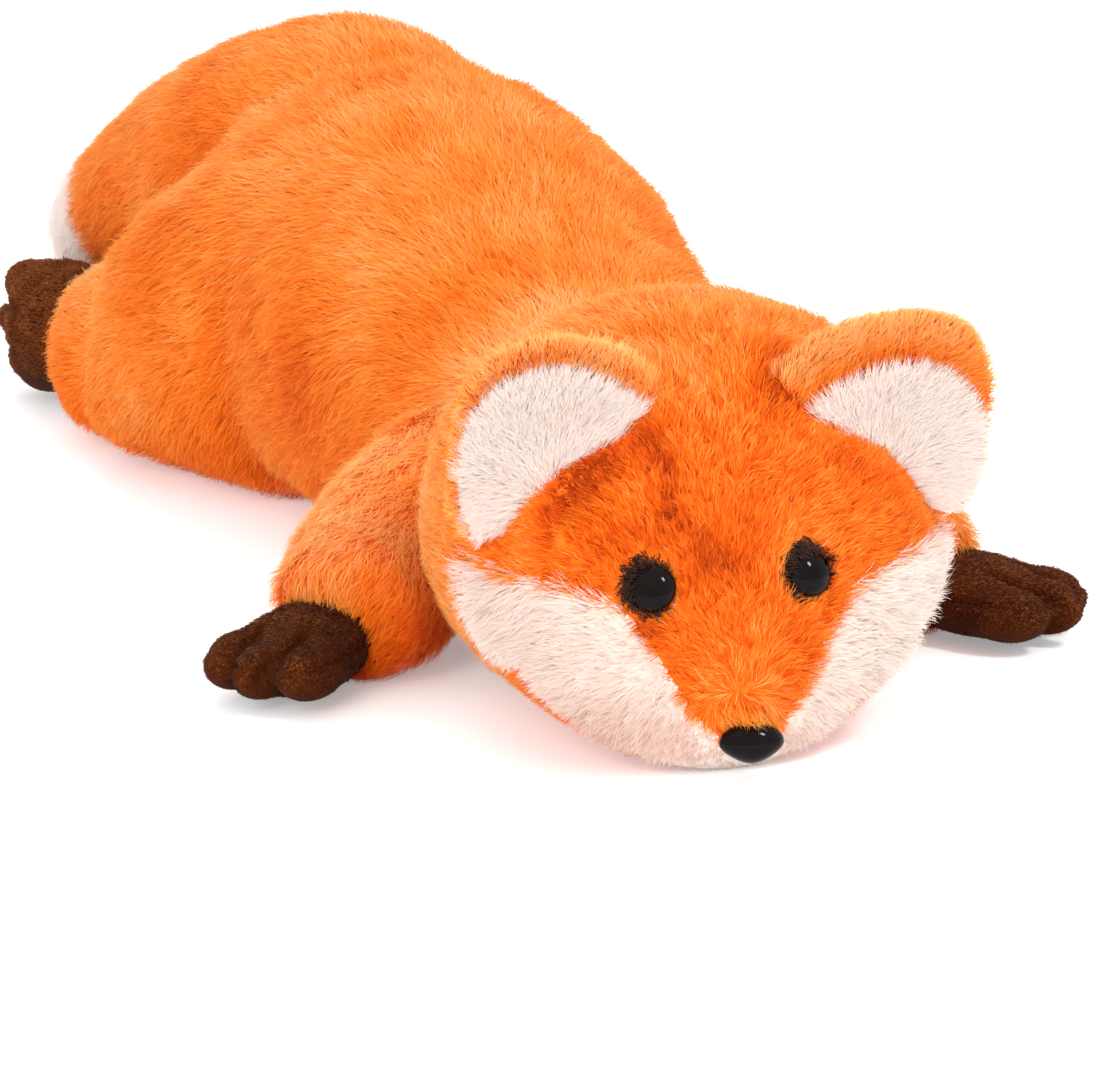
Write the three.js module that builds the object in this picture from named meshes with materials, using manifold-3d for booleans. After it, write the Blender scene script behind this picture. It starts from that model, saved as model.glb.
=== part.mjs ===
// A stuffed plush fox that lies on its belly with its chin between its forelegs. It faces -Y, its left is +X and
// it rests on the plane Z = 0. Lengths are in millimetres. Its covers are sewn sleeves, open where the fibre
// filling of one part meets the next, and each limb turns on a ball of filling at its seam.
import * as THREE from "three";
import { mergeVertices } from "three/addons/utils/BufferGeometryUtils.js";
import Module from "manifold-3d";

const wasm = await Module();
wasm.setup();

const V = (x, y, z) => new THREE.Vector3(x, y, z);
const alongX = V(1, 0, 0);
const alongY = V(0, 1, 0);
const alongZ = V(0, 0, 1);
const right = -1;
const left = 1;

// Cloth and clearances
const clothThickness = 3;
const seamGap = 0.3;
const ballGap = 1.4;
const flatDepth = 0.5;
const overrun = 30;

// Torso, from the neck's end back to the rump. The rump lies a little to the fox's right.
const torsoLength = 258;
const torsoHalfWidth = 59;
const torsoHeight = 110;
const torsoLean = 16;
const neckEnd = 136;
const hipLineShare = 0.75;

// Haunches, one bulge on each side of the rump
const haunchFront = 20;
const haunchLength = 92;
const haunchRootOut = 28;
const haunchSpread = 26;
const haunchHeight = 94;
const haunchHalfWidth = 37;

// Head, from its back to the muzzle's front
const headBack = 128;
const headLength = 118;
const headHalfWidth = 62;
const headHeight = 101;
const headLean = 3;

// Neck wad
const neckBallRadius = 26;
const neckBallHeight = 41;
const neckBallForward = 125;

// Ears, sewn to the crown along a slanting line
const earBaseOut = 38.5;
const earBaseForward = 211;
const earBaseHeight = 67;
const earWidth = 60;
const earHeight = 42;
const earRoot = 9;
const earBackThickness = 4;
const earLiningThickness = 2.5;
const earBevel = 1;

// Eyes and nose, each a plastic button with a stem and a washer behind the cover
const eyeOut = 20.1;
const eyesAside = 2.2;
const eyeHeight = 46.8;
const eyeRadius = 6;
const eyeDome = 4.2;
const eyeStemRadius = 1.5;
const eyeStemLength = 9;
const eyeWasherRadius = 7;
const noseHalfWidth = 8;
const noseHalfHeight = 5.6;
const noseDome = 5;
const noseHeight = 11.5;
const noseStemRadius = 2;
const noseStemLength = 11;
const noseWasherRadius = 6.5;
const buttonSeat = 1;
const washerThickness = 1.4;
const washerDepth = 4.6;

// White cheek panels on the muzzle's sides
const cheekBack = 191;
const cheekWidth = 57;
const cheekHeight = 50;

// Forelegs and forepaws
const forelegRootOut = 26;
const forelegRootForward = 79;
const forelegRootHeight = 34;
const forelegOut = 52;
const forelegForward = 58;
const forelegDrop = 18;
const forelegRadius = 24;
const shoulderOut = 46;
const shoulderForward = 95;
const shoulderHeight = 27;
const shoulderBallRadius = 22;
const forepawRootOut = 73;
const forepawRootForward = 126;
const forepawRootHeight = 15;
const forepawOut = 27;
const forepawForward = 27;
const forepawDrop = 5;
const forepawHalfWidth = 17;

// Hind legs and hind paws, measured outward from the hip line
const hindlegRootOut = 36;
const hindlegRootBack = 84;
const hindlegRootHeight = 33;
const hindlegOut = 30;
const hindlegBack = 68;
const hindlegDrop = 10.5;
const hindlegRadius = 27;
const hipOut = 51;
const hipBack = 112;
const hipHeight = 28;
const hipBallRadius = 24;
const hindpawRootOut = 65;
const hindpawRootBack = 148;
const hindpawRootHeight = 25;
const hindpawOut = 18;
const hindpawBack = 38;
const hindpawDrop = 4;
const hindpawHalfWidth = 14;
const hindpawHalfHeight = 20;

// Toes
const toeSpacing = 10.5;
const toeLength = 11;
const toeRadius = 8;
const pawCloth = 2;

// Tail
const tailRootOut = 4;
const tailRootBack = 36;
const tailRootHeight = 66;
const tailOut = 50;
const tailBack = 213;
const tailDrop = 52;
const tailRadius = 39;
const tailBallOut = 15;
const tailBallBack = 96;
const tailBallHeight = 87;
const tailBallRadius = 24;
const tipSeamShare = 0.77;

// Travel of the joints in degrees, from end to end, with the poses between that neighbours are cut clear of
const headTurnPoses = [-10, 0, 10];
const headNodPoses = [0, 25];
const earPoses = [-15, 0, 25];
const forelegPoses = [0, 15, 30];
const hindlegPoses = [0, 12.5, 25];
const tailSweepPoses = [0, 20];
const tailLiftPoses = [0, 20, 40];

// Cross-sections as shares: sideways, along and height of the centre, then half width, reach up and reach down.
const torsoShares = [
  [0, 0, 0.355, 0.6, 0.29, 0.29],
  [0, 0.18, 0.343, 0.746, 0.343, 0.343],
  [0.06, 0.353, 0.393, 0.864, 0.393, 0.393],
  [0.31, 0.547, 0.466, 0.966, 0.466, 0.466],
  [0.63, 0.721, 0.502, 1, 0.502, 0.502],
  [0.88, 0.884, 0.489, 0.949, 0.489, 0.489],
  [1, 1, 0.431, 0.78, 0.373, 0.373],
];
const haunchShares = [
  [0, 0, 0.473, 0.62, 0.425, 0.473],
  [0.19, 0.3, 0.473, 0.88, 0.53, 0.473],
  [0.69, 0.74, 0.388, 1, 0.468, 0.4],
  [1, 1, 0.324, 0.86, 0.34, 0.335],
];
const headShares = [
  [0, 0, 0.431, 0.677, 0.342, 0.342],
  [0, 0.18, 0.473, 0.903, 0.473, 0.473],
  [0.2, 0.43, 0.502, 1, 0.502, 0.502],
  [1, 0.66, 0.458, 0.92, 0.458, 0.458],
  [1.4, 0.84, 0.344, 0.69, 0.344, 0.344],
  [1, 1, 0.124, 0.24, 0.11, 0.11],
];
const forelegShares = [
  [0, 0, 0, 0.9, 0.92, 0.92],
  [0.24, 0.2, 0.17, 0.98, 1, 1],
  [0.57, 0.5, 0.56, 0.96, 0.94, 1],
  [0.8, 0.79, 0.81, 0.9, 0.82, 0.81],
  [1, 1, 0.97, 0.8, 0.7, 0.69],
];
const forepawShares = [
  [0, 0, 0, 0.76, 0.5, 0.72],
  [0.32, 0.33, 0.4, 0.92, 0.52, 0.72],
  [0.62, 0.64, 0.6, 0.98, 0.5, 0.67],
  [1, 1, 1, 0.72, 0.44, 0.56],
];
const hindlegShares = [
  [0, 0, 0, 0.9, 0.93, 1],
  [0.45, 0.41, 0.42, 1, 1, 1.06],
  [0.78, 0.68, 0.73, 0.94, 0.93, 0.94],
  [1, 1, 1, 0.68, 0.67, 0.83],
];
const hindpawShares = [
  [0, 0, 0, 0.93, 0.8, 0.8],
  [0.56, 0.53, 0.6, 1, 0.95, 1],
  [1, 1, 1, 0.86, 0.85, 1.05],
];
const tailShares = [
  [0, 0, 0, 0.67, 0.67, 0.72],
  [0.12, 0.123, -0.19, 0.77, 0.77, 0.82],
  [0.28, 0.292, -0.33, 0.97, 0.87, 0.97],
  [0.56, 0.481, -0.13, 0.98, 0.85, 0.92],
  [0.83, 0.67, 0.19, 0.87, 0.72, 0.82],
  [1.02, 0.84, 0.56, 0.71, 0.6, 0.77],
  [1.08, 1, 1, 0.41, 0.41, 0.39],
];
// Outlines as shares: the ear's rim and lining of its width and height, and the cheek of its width and height.
const earShares = [
  [-0.45, 0],
  [-0.42, 0.29],
  [-0.26, 0.64],
  [-0.1, 0.88],
  [0.07, 1],
  [0.23, 1],
  [0.4, 0.86],
  [0.55, 0.62],
  [0.64, 0.33],
  [0.64, 0],
];
const liningShares = [
  [-0.43, 0],
  [-0.4, 0.24],
  [-0.25, 0.54],
  [-0.07, 0.72],
  [0.09, 0.75],
  [0.23, 0.65],
  [0.34, 0.42],
  [0.41, 0],
];
const cheekShares = [
  [0, 0.16],
  [0.13, 0.21],
  [0.22, 0.31],
  [0.3, 0.46],
  [0.38, 0.65],
  [0.51, 0.83],
  [0.75, 0.95],
  [1, 1],
  [1.3, 1.02],
  [1.3, 0.12],
  [0.6, 0.12],
  [0.46, -0.1],
  [0, -0.1],
];
const earAcrossShares = [0.771, -0.125, 0.625];
const earUpShares = [-0.624, -0.346, 0.7];
const eyeFacingShares = [0.35, -0.8, 0.5];
const noseFacingShares = [-0.06, -1, 0.12];

const plush = { roughness: 0.95, metalness: 0 };
const materials = {
  orange: new THREE.MeshStandardMaterial({ color: 0xf07828, ...plush }),
  white: new THREE.MeshStandardMaterial({ color: 0xfaeee6, ...plush }),
  brown: new THREE.MeshStandardMaterial({ color: 0x55301a, ...plush }),
  fibre: new THREE.MeshStandardMaterial({ color: 0xebebe4, ...plush }),
  button: new THREE.MeshStandardMaterial({ color: 0x0c0a0a, roughness: 0.08, metalness: 0 }),
  washer: new THREE.MeshStandardMaterial({ color: 0xd8d8d2, roughness: 0.5, metalness: 0 }),
};

// Solids

function solidOf(geometry) {
  const plain = geometry.clone();
  plain.deleteAttribute("normal");
  plain.deleteAttribute("uv");
  const merged = mergeVertices(plain);
  const vertProperties = merged.attributes.position.array;
  const triVerts = new Uint32Array(merged.index.array);
  return new wasm.Manifold(new wasm.Mesh({ numProp: 3, vertProperties, triVerts }));
}

// The geometry of a solid's largest body: the slivers that a cut leaves beside it are dropped.
function geometryOf(solid) {
  const { vertProperties, triVerts } = solid.getMesh();
  const parents = Array.from({ length: vertProperties.length / 3 }, (_, i) => i);
  const rootOf = (i) => {
    while (parents[i] !== i) i = parents[i] = parents[parents[i]];
    return i;
  };
  for (let i = 0; i < triVerts.length; i += 3) {
    parents[rootOf(triVerts[i + 1])] = rootOf(triVerts[i]);
    parents[rootOf(triVerts[i + 2])] = rootOf(triVerts[i]);
  }
  const bodies = new Map();
  for (let i = 0; i < triVerts.length; i += 3) {
    const root = rootOf(triVerts[i]);
    if (!bodies.has(root)) bodies.set(root, []);
    bodies.get(root).push(...triVerts.subarray(i, i + 3));
  }
  const [largest] = [...bodies.values()].sort((a, b) => b.length - a.length);
  const geometry = new THREE.BufferGeometry();
  geometry.setAttribute("position", new THREE.BufferAttribute(vertProperties, 3));
  geometry.setIndex(largest);
  return geometry.toNonIndexed();
}

const joined = (solids) => solids.reduce((whole, next) => whole.add(next));
const cutBy = (solid, cutters) => cutters.reduce((rest, cutter) => rest.subtract(cutter), solid);

function ball(centre, radius) {
  const geometry = new THREE.SphereGeometry(radius, 12, 8);
  return solidOf(geometry.rotateX(Math.PI / 2).translate(centre.x, centre.y, centre.z));
}

// A loose wad of filling, on which the part that it carries turns both ways.
function wad(centre, radius) {
  const geometry = new THREE.IcosahedronGeometry(radius, 1);
  return solidOf(geometry.translate(centre.x, centre.y, centre.z));
}

// Everything below the table, which flattens each piece where it rests.
const tableSpan = 2 * (headLength + torsoLength + tailBack);
const tableSolid = solidOf(new THREE.BoxGeometry(tableSpan, tableSpan, overrun).translate(0, 0, -overrun / 2));

// Stuffed forms

// A form's cross-sections, from shares of its span and of its half sizes.
function sectionsOf(origin, span, half, shares) {
  return shares.map(([x, y, z, side, up, down]) => ({
    centre: V(x, y, z).multiply(span).add(origin),
    half: V(side, up, down).multiply(half),
  }));
}

const rounded = (value, squareness) => Math.sign(value) * Math.abs(value) ** (2 / squareness);

function domeOf(t, [startShare, endShare]) {
  const start = t < startShare ? Math.sqrt(1 - ((startShare - t) / startShare) ** 2) : 1;
  const end = t > 1 - endShare ? Math.sqrt(1 - ((t - 1 + endShare) / endShare) ** 2) : 1;
  return start * end;
}

// A closed skin of rings round a smooth spine, with a dome at each end. It is drawn in by inset on every side,
// and an inner skin is coarser than an outer one.
function stuffed(form, inset = 0, coarseness = 1) {
  const spine = new THREE.CatmullRomCurve3(form.sections.map((s) => s.centre), false, "catmullrom");
  const girth = new THREE.CatmullRomCurve3(form.sections.map((s) => s.half), false, "catmullrom");
  const sides = form.sides / coarseness;
  const rings = form.rings / coarseness;
  const points = [];
  const faces = [];
  for (let ring = 0; ring <= rings; ring++) {
    const t = (1 - Math.cos((Math.PI * ring) / rings)) / 2;
    const tangent = spine.getTangent(t);
    if (form.upright) tangent.setZ(0).normalize();
    const across = tangent.clone().cross(alongZ).normalize();
    const up = across.clone().cross(tangent);
    const centre = spine.getPoint(t).addScaledVector(tangent, inset * (1 - 2 * t));
    if (ring === 0 || ring === rings) {
      points.push(centre);
      continue;
    }
    const half = girth.getPoint(t).subScalar(inset).multiplyScalar(domeOf(t, form.domeShares));
    for (let side = 0; side < sides; side++) {
      const angle = (2 * Math.PI * side) / sides;
      const above = Math.sin(angle) > 0;
      const squareness = above ? 2 : form.squareness;
      const outward = half.x * rounded(Math.cos(angle), squareness);
      const upward = (above ? half.y : half.z) * rounded(Math.sin(angle), squareness);
      points.push(centre.clone().addScaledVector(across, outward).addScaledVector(up, upward));
    }
  }
  const last = points.length - 1;
  for (let side = 0; side < sides; side++) {
    const next = (side + 1) % sides;
    faces.push(0, 1 + side, 1 + next);
    for (let ring = 0; ring < rings - 2; ring++) {
      const here = 1 + ring * sides;
      const there = here + sides;
      faces.push(here + side, there + side, here + next);
      faces.push(here + next, there + side, there + next);
    }
    const end = last - sides;
    faces.push(end + side, last, end + next);
  }
  const geometry = new THREE.BufferGeometry();
  geometry.setFromPoints(points);
  geometry.setIndex(faces);
  return geometry;
}

const skin = (form) => solidOf(stuffed(form));
const grown = (form) => solidOf(stuffed(form, -seamGap));
const lined = (form, cloth) => solidOf(stuffed(form, cloth, 2));
const packed = (form, cloth) => solidOf(stuffed(form, cloth + seamGap, 2));

// A neighbour's solids as a moving piece meets them in the poses of the joints between them.
function travelled(form, joints) {
  const poses = joints.reduce(
    (all, joint) => all.flatMap((pose) => joint.poses.map((angle) => [...pose, { joint, angle }])),
    [[]],
  );
  return poses.map((pose) => {
    const geometry = stuffed(form, -seamGap);
    for (const { joint, angle } of pose) {
      const turn = new THREE.Matrix4().makeRotationAxis(joint.axis, THREE.MathUtils.degToRad(-angle));
      const { x, y, z } = joint.pivot;
      geometry.translate(-x, -y, -z).applyMatrix4(turn).translate(x, y, z);
    }
    return solidOf(geometry);
  });
}

// The same joint seen from the other piece, which moves the other way.
const reversed = (joint) => ({ ...joint, axis: joint.axis.clone().negate() });

const hipLineX = -torsoLean * hipLineShare;

const torsoForm = {
  sections: sectionsOf(
    V(0, -neckEnd, -flatDepth),
    V(-torsoLean, torsoLength, torsoHeight),
    V(torsoHalfWidth, torsoHeight, torsoHeight),
    torsoShares,
  ),
  domeShares: [0.12, 0.2],
  squareness: 3.2,
  upright: true,
  sides: 16,
  rings: 10,
};

const haunchForm = (side) => ({
  sections: sectionsOf(
    V(hipLineX + side * haunchRootOut, haunchFront, -flatDepth),
    V(side * haunchSpread, haunchLength, haunchHeight),
    V(haunchHalfWidth, haunchHeight, haunchHeight),
    haunchShares,
  ),
  domeShares: [0.3, 0.3],
  squareness: 2.3,
  upright: true,
  sides: 10,
  rings: 8,
});

const headForm = {
  sections: sectionsOf(
    V(0, -headBack, -flatDepth),
    V(-headLean, -headLength, headHeight),
    V(headHalfWidth, headHeight, headHeight),
    headShares,
  ),
  domeShares: [0.22, 0.12],
  squareness: 2.3,
  upright: true,
  sides: 16,
  rings: 12,
};

const forelegForm = (side) => ({
  sections: sectionsOf(
    V(side * forelegRootOut, -forelegRootForward, forelegRootHeight - flatDepth),
    V(side * forelegOut, -forelegForward, -forelegDrop),
    V(forelegRadius, forelegRadius, forelegRadius),
    forelegShares,
  ),
  domeShares: [0.1, 0.12],
  squareness: 2.3,
  upright: true,
  sides: 12,
  rings: 6,
});

const forepawForm = (side) => ({
  sections: sectionsOf(
    V(side * forepawRootOut, -forepawRootForward, forepawRootHeight - flatDepth),
    V(side * forepawOut, -forepawForward, -forepawDrop),
    V(forepawHalfWidth, forepawHalfWidth, forepawHalfWidth),
    forepawShares,
  ),
  domeShares: [0.15, 0.3],
  squareness: 2.4,
  upright: true,
  sides: 8,
  rings: 6,
});

const hindlegForm = (side) => ({
  sections: sectionsOf(
    V(hipLineX + side * hindlegRootOut, hindlegRootBack, hindlegRootHeight - flatDepth),
    V(side * hindlegOut, hindlegBack, -hindlegDrop),
    V(hindlegRadius, hindlegRadius, hindlegRadius),
    hindlegShares,
  ),
  domeShares: [0.1, 0.15],
  squareness: 2.5,
  upright: true,
  sides: 12,
  rings: 6,
});

const hindpawForm = (side) => ({
  sections: sectionsOf(
    V(hipLineX + side * hindpawRootOut, hindpawRootBack, hindpawRootHeight - flatDepth),
    V(side * hindpawOut, hindpawBack, -hindpawDrop),
    V(hindpawHalfWidth, hindpawHalfHeight, hindpawHalfHeight),
    hindpawShares,
  ),
  domeShares: [0.2, 0.35],
  squareness: 2.2,
  upright: true,
  sides: 8,
  rings: 6,
});

const tailForm = {
  sections: sectionsOf(
    V(-tailRootOut, tailRootBack, tailRootHeight - flatDepth),
    V(-tailOut, tailBack, -tailDrop),
    V(tailRadius, tailRadius, tailRadius),
    tailShares,
  ),
  domeShares: [0.08, 0.2],
  squareness: 2,
  upright: false,
  sides: 14,
  rings: 10,
};

// Balls of filling that the parts turn on, and the joints' axes

const neckCentre = V(0, -neckBallForward, neckBallHeight);
const tailCentre = V(-tailBallOut, tailBallBack, tailBallHeight);
const shoulderCentre = (side) => V(side * shoulderOut, -shoulderForward, shoulderHeight);
const hipCentre = (side) => V(hipLineX + side * hipOut, hipBack, hipHeight);

const headJoints = [
  { pivot: neckCentre, axis: alongZ, poses: headTurnPoses },
  { pivot: neckCentre, axis: alongX.clone().negate(), poses: headNodPoses },
];
const tailJoints = [
  { pivot: tailCentre, axis: alongZ.clone().negate(), poses: tailSweepPoses },
  { pivot: tailCentre, axis: alongX, poses: tailLiftPoses },
];
const forelegJoint = (side) => ({
  pivot: shoulderCentre(side),
  axis: V(0, 0, side),
  poses: forelegPoses,
});
const hindlegJoint = (side) => ({
  pivot: hipCentre(side),
  axis: V(0, 0, -side),
  poses: hindlegPoses,
});

const fox = new THREE.Group();

function addPiece(name, solid, material, parent = fox) {
  const mesh = new THREE.Mesh(geometryOf(solid), material);
  mesh.name = name;
  parent.add(mesh);
}

// Torso: one cover with both haunches, and the filling inside it

const torsoForms = [torsoForm, haunchForm(right), haunchForm(left)];
const sockets = [
  ball(neckCentre, neckBallRadius + ballGap),
  ball(tailCentre, tailBallRadius + ballGap),
  ...[right, left].map((side) => ball(shoulderCentre(side), shoulderBallRadius + ballGap)),
  ...[right, left].map((side) => ball(hipCentre(side), hipBallRadius + ballGap)),
];
const torsoOuter = joined(torsoForms.map(skin));
const torsoInner = joined(torsoForms.map((form) => lined(form, clothThickness)));
const torsoPacked = joined(torsoForms.map((form) => packed(form, clothThickness)));
const torsoGroup = new THREE.Group();
fox.add(torsoGroup);
addPiece("torso_cover", cutBy(torsoOuter, [torsoInner, ...sockets, tableSolid]), materials.orange, torsoGroup);
addPiece("torso_filling", cutBy(torsoPacked, sockets), materials.fibre, torsoGroup);

// Head: the cover, its two cheek panels, the filling, the buttons and the ears

const headGroup = new THREE.Group();
fox.add(headGroup);
addPiece("neck_filling", wad(neckCentre, neckBallRadius), materials.fibre, headGroup);

const headSurface = new THREE.Mesh(stuffed(headForm), materials.orange);

// The point of the head's surface that is seen from the front at a place sideways and above the table.
function frontOfHead(sideways, height) {
  const from = V(sideways, -headBack - headLength - overrun, height);
  const [seen] = new THREE.Raycaster(from, alongY).intersectObject(headSurface);
  return seen.point;
}

// A round body about +Y from its outline of radii and heights, closed on the axis or on itself.
const lathed = (outline) =>
  new THREE.LatheGeometry(outline.map(([radius, height]) => new THREE.Vector2(radius, height)), 14);

function domeOutline(radius, height) {
  const steps = 5;
  return Array.from({ length: steps + 1 }, (_, i) => {
    const angle = (Math.PI / 2) * (i / steps);
    return [radius * Math.cos(angle), height * Math.sin(angle)];
  });
}

// A safety button: a domed head on a stem, its washer, and the room that both need in cloth and filling.
function button({ seat, facing, radius, dome, flatten, stemRadius, stemLength, washerRadius }) {
  const placed = (geometry) => {
    const turn = new THREE.Quaternion().setFromUnitVectors(alongY, facing);
    const matrix = new THREE.Matrix4().compose(seat, turn, V(1, 1, 1));
    return solidOf(geometry.applyMatrix4(matrix));
  };
  const washerBack = -washerDepth - washerThickness;
  const headPlane = -buttonSeat;
  const domeShape = domeOutline(radius, dome).map(([r, h]) => [r, h + headPlane]);
  domeShape[domeShape.length - 1][0] = 0;
  const body = placed(
    lathed([[0, -stemLength], [stemRadius, -stemLength], [stemRadius, headPlane], ...domeShape])
      .scale(1, 1, flatten),
  );
  const washer = placed(
    lathed([
      [stemRadius + seamGap, washerBack],
      [washerRadius, washerBack],
      [washerRadius, -washerDepth],
      [stemRadius + seamGap, -washerDepth],
      [stemRadius + seamGap, washerBack],
    ]),
  );
  const roomRadius = radius + seamGap;
  const holeRadius = stemRadius + seamGap;
  const washerRoom = washerRadius + seamGap;
  const holeEnd = -stemLength - seamGap;
  const pocketEnd = washerBack - seamGap;
  const pocketStart = -washerDepth + seamGap;
  const floorOfSeat = headPlane - seamGap;
  const room = placed(
    lathed([
      [0, holeEnd],
      [holeRadius, holeEnd],
      [holeRadius, pocketEnd],
      [washerRoom, pocketEnd],
      [washerRoom, pocketStart],
      [holeRadius, pocketStart],
      [holeRadius, floorOfSeat],
      [roomRadius, floorOfSeat],
      [roomRadius, overrun],
      [0, overrun],
    ]),
  );
  return { body, washer, room };
}

const faceCentre = -headLean / 2;
const eyes = [right, left].map((side) => {
  const [x, y, z] = eyeFacingShares;
  return button({
    seat: frontOfHead(faceCentre - eyesAside + side * eyeOut, eyeHeight),
    facing: V(side * x, y, z).normalize(),
    radius: eyeRadius,
    dome: eyeDome,
    flatten: 1,
    stemRadius: eyeStemRadius,
    stemLength: eyeStemLength,
    washerRadius: eyeWasherRadius,
  });
});
const nose = button({
  seat: frontOfHead(-headLean, noseHeight),
  facing: V(...noseFacingShares).normalize(),
  radius: noseHalfWidth,
  dome: noseDome,
  flatten: noseHalfHeight / noseHalfWidth,
  stemRadius: noseStemRadius,
  stemLength: noseStemLength,
  washerRadius: noseWasherRadius,
});
const buttons = [...eyes, nose];
const buttonRooms = buttons.map(({ room }) => room);

// A closed outline moved outward by a distance along the bisectors of its corners.
function spreadOutline(points, distance) {
  return points.map((point, i) => {
    const before = points[(i + points.length - 1) % points.length];
    const after = points[(i + 1) % points.length];
    const along = after.clone().sub(before).normalize();
    return point.clone().add(new THREE.Vector2(along.y, -along.x).multiplyScalar(distance));
  });
}

// The block of the muzzle that a cheek panel covers, seen from the front.
function cheekBlock(side, spread) {
  const outline = cheekShares.map(([x, z]) => new THREE.Vector2(x * cheekWidth + seamGap / 2, z * cheekHeight));
  const counterClockwise = spreadOutline(outline.reverse(), spread);
  const depth = headBack + headLength + overrun - cheekBack + 2 * spread;
  const block = new THREE.ExtrudeGeometry(new THREE.Shape(counterClockwise), { depth, bevelEnabled: false });
  block.rotateX(Math.PI / 2).translate(0, -cheekBack + spread, 0);
  const placed = side === left ? block : mirrored(block);
  return solidOf(placed.translate(faceCentre, 0, 0));
}

// A closed geometry reflected across X = 0, its faces turned to look outward again.
function mirrored(geometry) {
  const image = geometry.clone();
  const places = image.attributes.position;
  for (let i = 0; i < places.count; i += 3) {
    const [a, b, c] = [0, 2, 1].map((k) => V().fromBufferAttribute(places, i + k).multiply(V(-1, 1, 1)));
    [a, b, c].forEach((corner, k) => places.setXYZ(i + k, corner.x, corner.y, corner.z));
  }
  return image;
}

const headOuter = skin(headForm);
const headSockets = [ball(neckCentre, neckBallRadius + ballGap), ...travelled(torsoForm, headJoints)];
const headShell = cutBy(headOuter, [
  lined(headForm, clothThickness),
  ...headSockets,
  ...buttonRooms,
  tableSolid,
]);
const bothCheeks = [right, left].map((side) => cheekBlock(side, seamGap));
addPiece("head_cover", cutBy(headShell, bothCheeks), materials.orange, headGroup);
addPiece("cheek_right", headShell.intersect(cheekBlock(right, 0)), materials.white, headGroup);
addPiece("cheek_left", headShell.intersect(cheekBlock(left, 0)), materials.white, headGroup);
addPiece(
  "head_filling",
  cutBy(packed(headForm, clothThickness), [...headSockets, ...buttonRooms]),
  materials.fibre,
  headGroup,
);
["eye_right", "eye_left", "nose"].forEach((name, i) => {
  addPiece(name, buttons[i].body, materials.button, headGroup);
  addPiece(name + "_washer", buttons[i].washer, materials.washer, headGroup);
});

// Ears: a plush back and a white lining, sewn together and to the crown

function ear(side) {
  const mirrored = -side;
  const across = V(...earAcrossShares).multiply(V(1, mirrored, mirrored));
  const up = V(...earUpShares).multiply(V(mirrored, 1, 1));
  const facing = across.clone().cross(up).normalize();
  const base = V(faceCentre + side * earBaseOut, -earBaseForward, earBaseHeight);
  const frame = new THREE.Matrix4().makeBasis(across, up, facing).setPosition(base);
  const plate = (shares, thickness, from) => {
    const rim = new THREE.SplineCurve(
      shares.map(([x, y]) => new THREE.Vector2(mirrored * x * earWidth, y * earHeight)),
    ).getPoints(12);
    const [first] = rim;
    const last = rim[rim.length - 1];
    const outline = [...rim, new THREE.Vector2(last.x, -earRoot), new THREE.Vector2(first.x, -earRoot)];
    if (mirrored > 0) outline.reverse();
    const geometry = new THREE.ExtrudeGeometry(new THREE.Shape(outline), {
      depth: thickness - 2 * earBevel,
      bevelThickness: earBevel,
      bevelSize: earBevel,
      bevelOffset: -earBevel,
      bevelSegments: 1,
    });
    return solidOf(geometry.translate(0, 0, from + earBevel).applyMatrix4(frame));
  };
  const joint = { pivot: base, axis: across, poses: earPoses };
  const cutters = travelled(headForm, [joint]);
  const back = cutBy(plate(earShares, earBackThickness, -earBackThickness), cutters);
  const lining = cutBy(plate(liningShares, earLiningThickness, seamGap), cutters);
  return { back, lining, joint };
}

for (const [word, side] of [["right", right], ["left", left]]) {
  const { back, lining } = ear(side);
  addPiece("ear_" + word + "_back", back, materials.orange, headGroup);
  addPiece("ear_" + word + "_lining", lining, materials.white, headGroup);
}

// Limbs

// A limb's solid: what lies on its ball, and what is clear of the body that carries it as it turns. The bodies
// that it only passes cut all of it.
function limbOf(solid, centre, radius, carriers, passed) {
  return cutBy(joined([solid.intersect(ball(centre, radius)), cutBy(solid, carriers)]), passed);
}

// Three toes at a paw's end, spread across it or stacked.
function toesOf(form, spread) {
  const { centre } = form.sections[form.sections.length - 1];
  const forward = new THREE.CatmullRomCurve3(form.sections.map((s) => s.centre)).getTangent(1);
  forward.setZ(0).normalize();
  const turn = new THREE.Quaternion().setFromUnitVectors(alongY, forward);
  return [-1, 0, 1].map((place) => {
    const reach = place === 0 ? -toeRadius / 2 : -toeRadius;
    const at = centre.clone().addScaledVector(forward, reach);
    at.addScaledVector(spread(forward), place * toeSpacing);
    at.z = Math.max(at.z, toeRadius - flatDepth);
    const toe = new THREE.SphereGeometry(toeRadius, 8, 4).scale(1, toeLength / toeRadius, 1);
    return solidOf(toe.applyQuaternion(turn).translate(at.x, at.y, at.z));
  });
}

// A paw: an upper and a sole sewn round their edge, closed on the leg's end, and the filling between them.
function addPaw(name, form, halves, toes, legGrown, cutters, parent) {
  const outer = joined([skin(form), ...toes]);
  const shell = cutBy(outer, [lined(form, pawCloth), legGrown, ...cutters, tableSolid]);
  addPiece(name + "_upper", cutBy(shell, [halves.upperCut]), materials.brown, parent);
  addPiece(name + "_sole", cutBy(shell, [halves.soleCut]), materials.brown, parent);
  addPiece(name + "_filling", cutBy(packed(form, pawCloth), [legGrown, ...cutters]), materials.fibre, parent);
}

// The two blocks that part a paw at its edge seam: each leaves one half.
function seamBlocks(form, normal) {
  const middle = form.sections[1].centre;
  const size = torsoLength;
  const turn = new THREE.Quaternion().setFromUnitVectors(alongZ, normal);
  const block = (sign) => {
    const geometry = new THREE.BoxGeometry(size, size, size).translate(0, 0, sign * (size / 2 - seamGap / 2));
    return solidOf(geometry.applyQuaternion(turn).translate(middle.x, middle.y, middle.z));
  };
  return { upperCut: block(-1), soleCut: block(1) };
}

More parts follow.
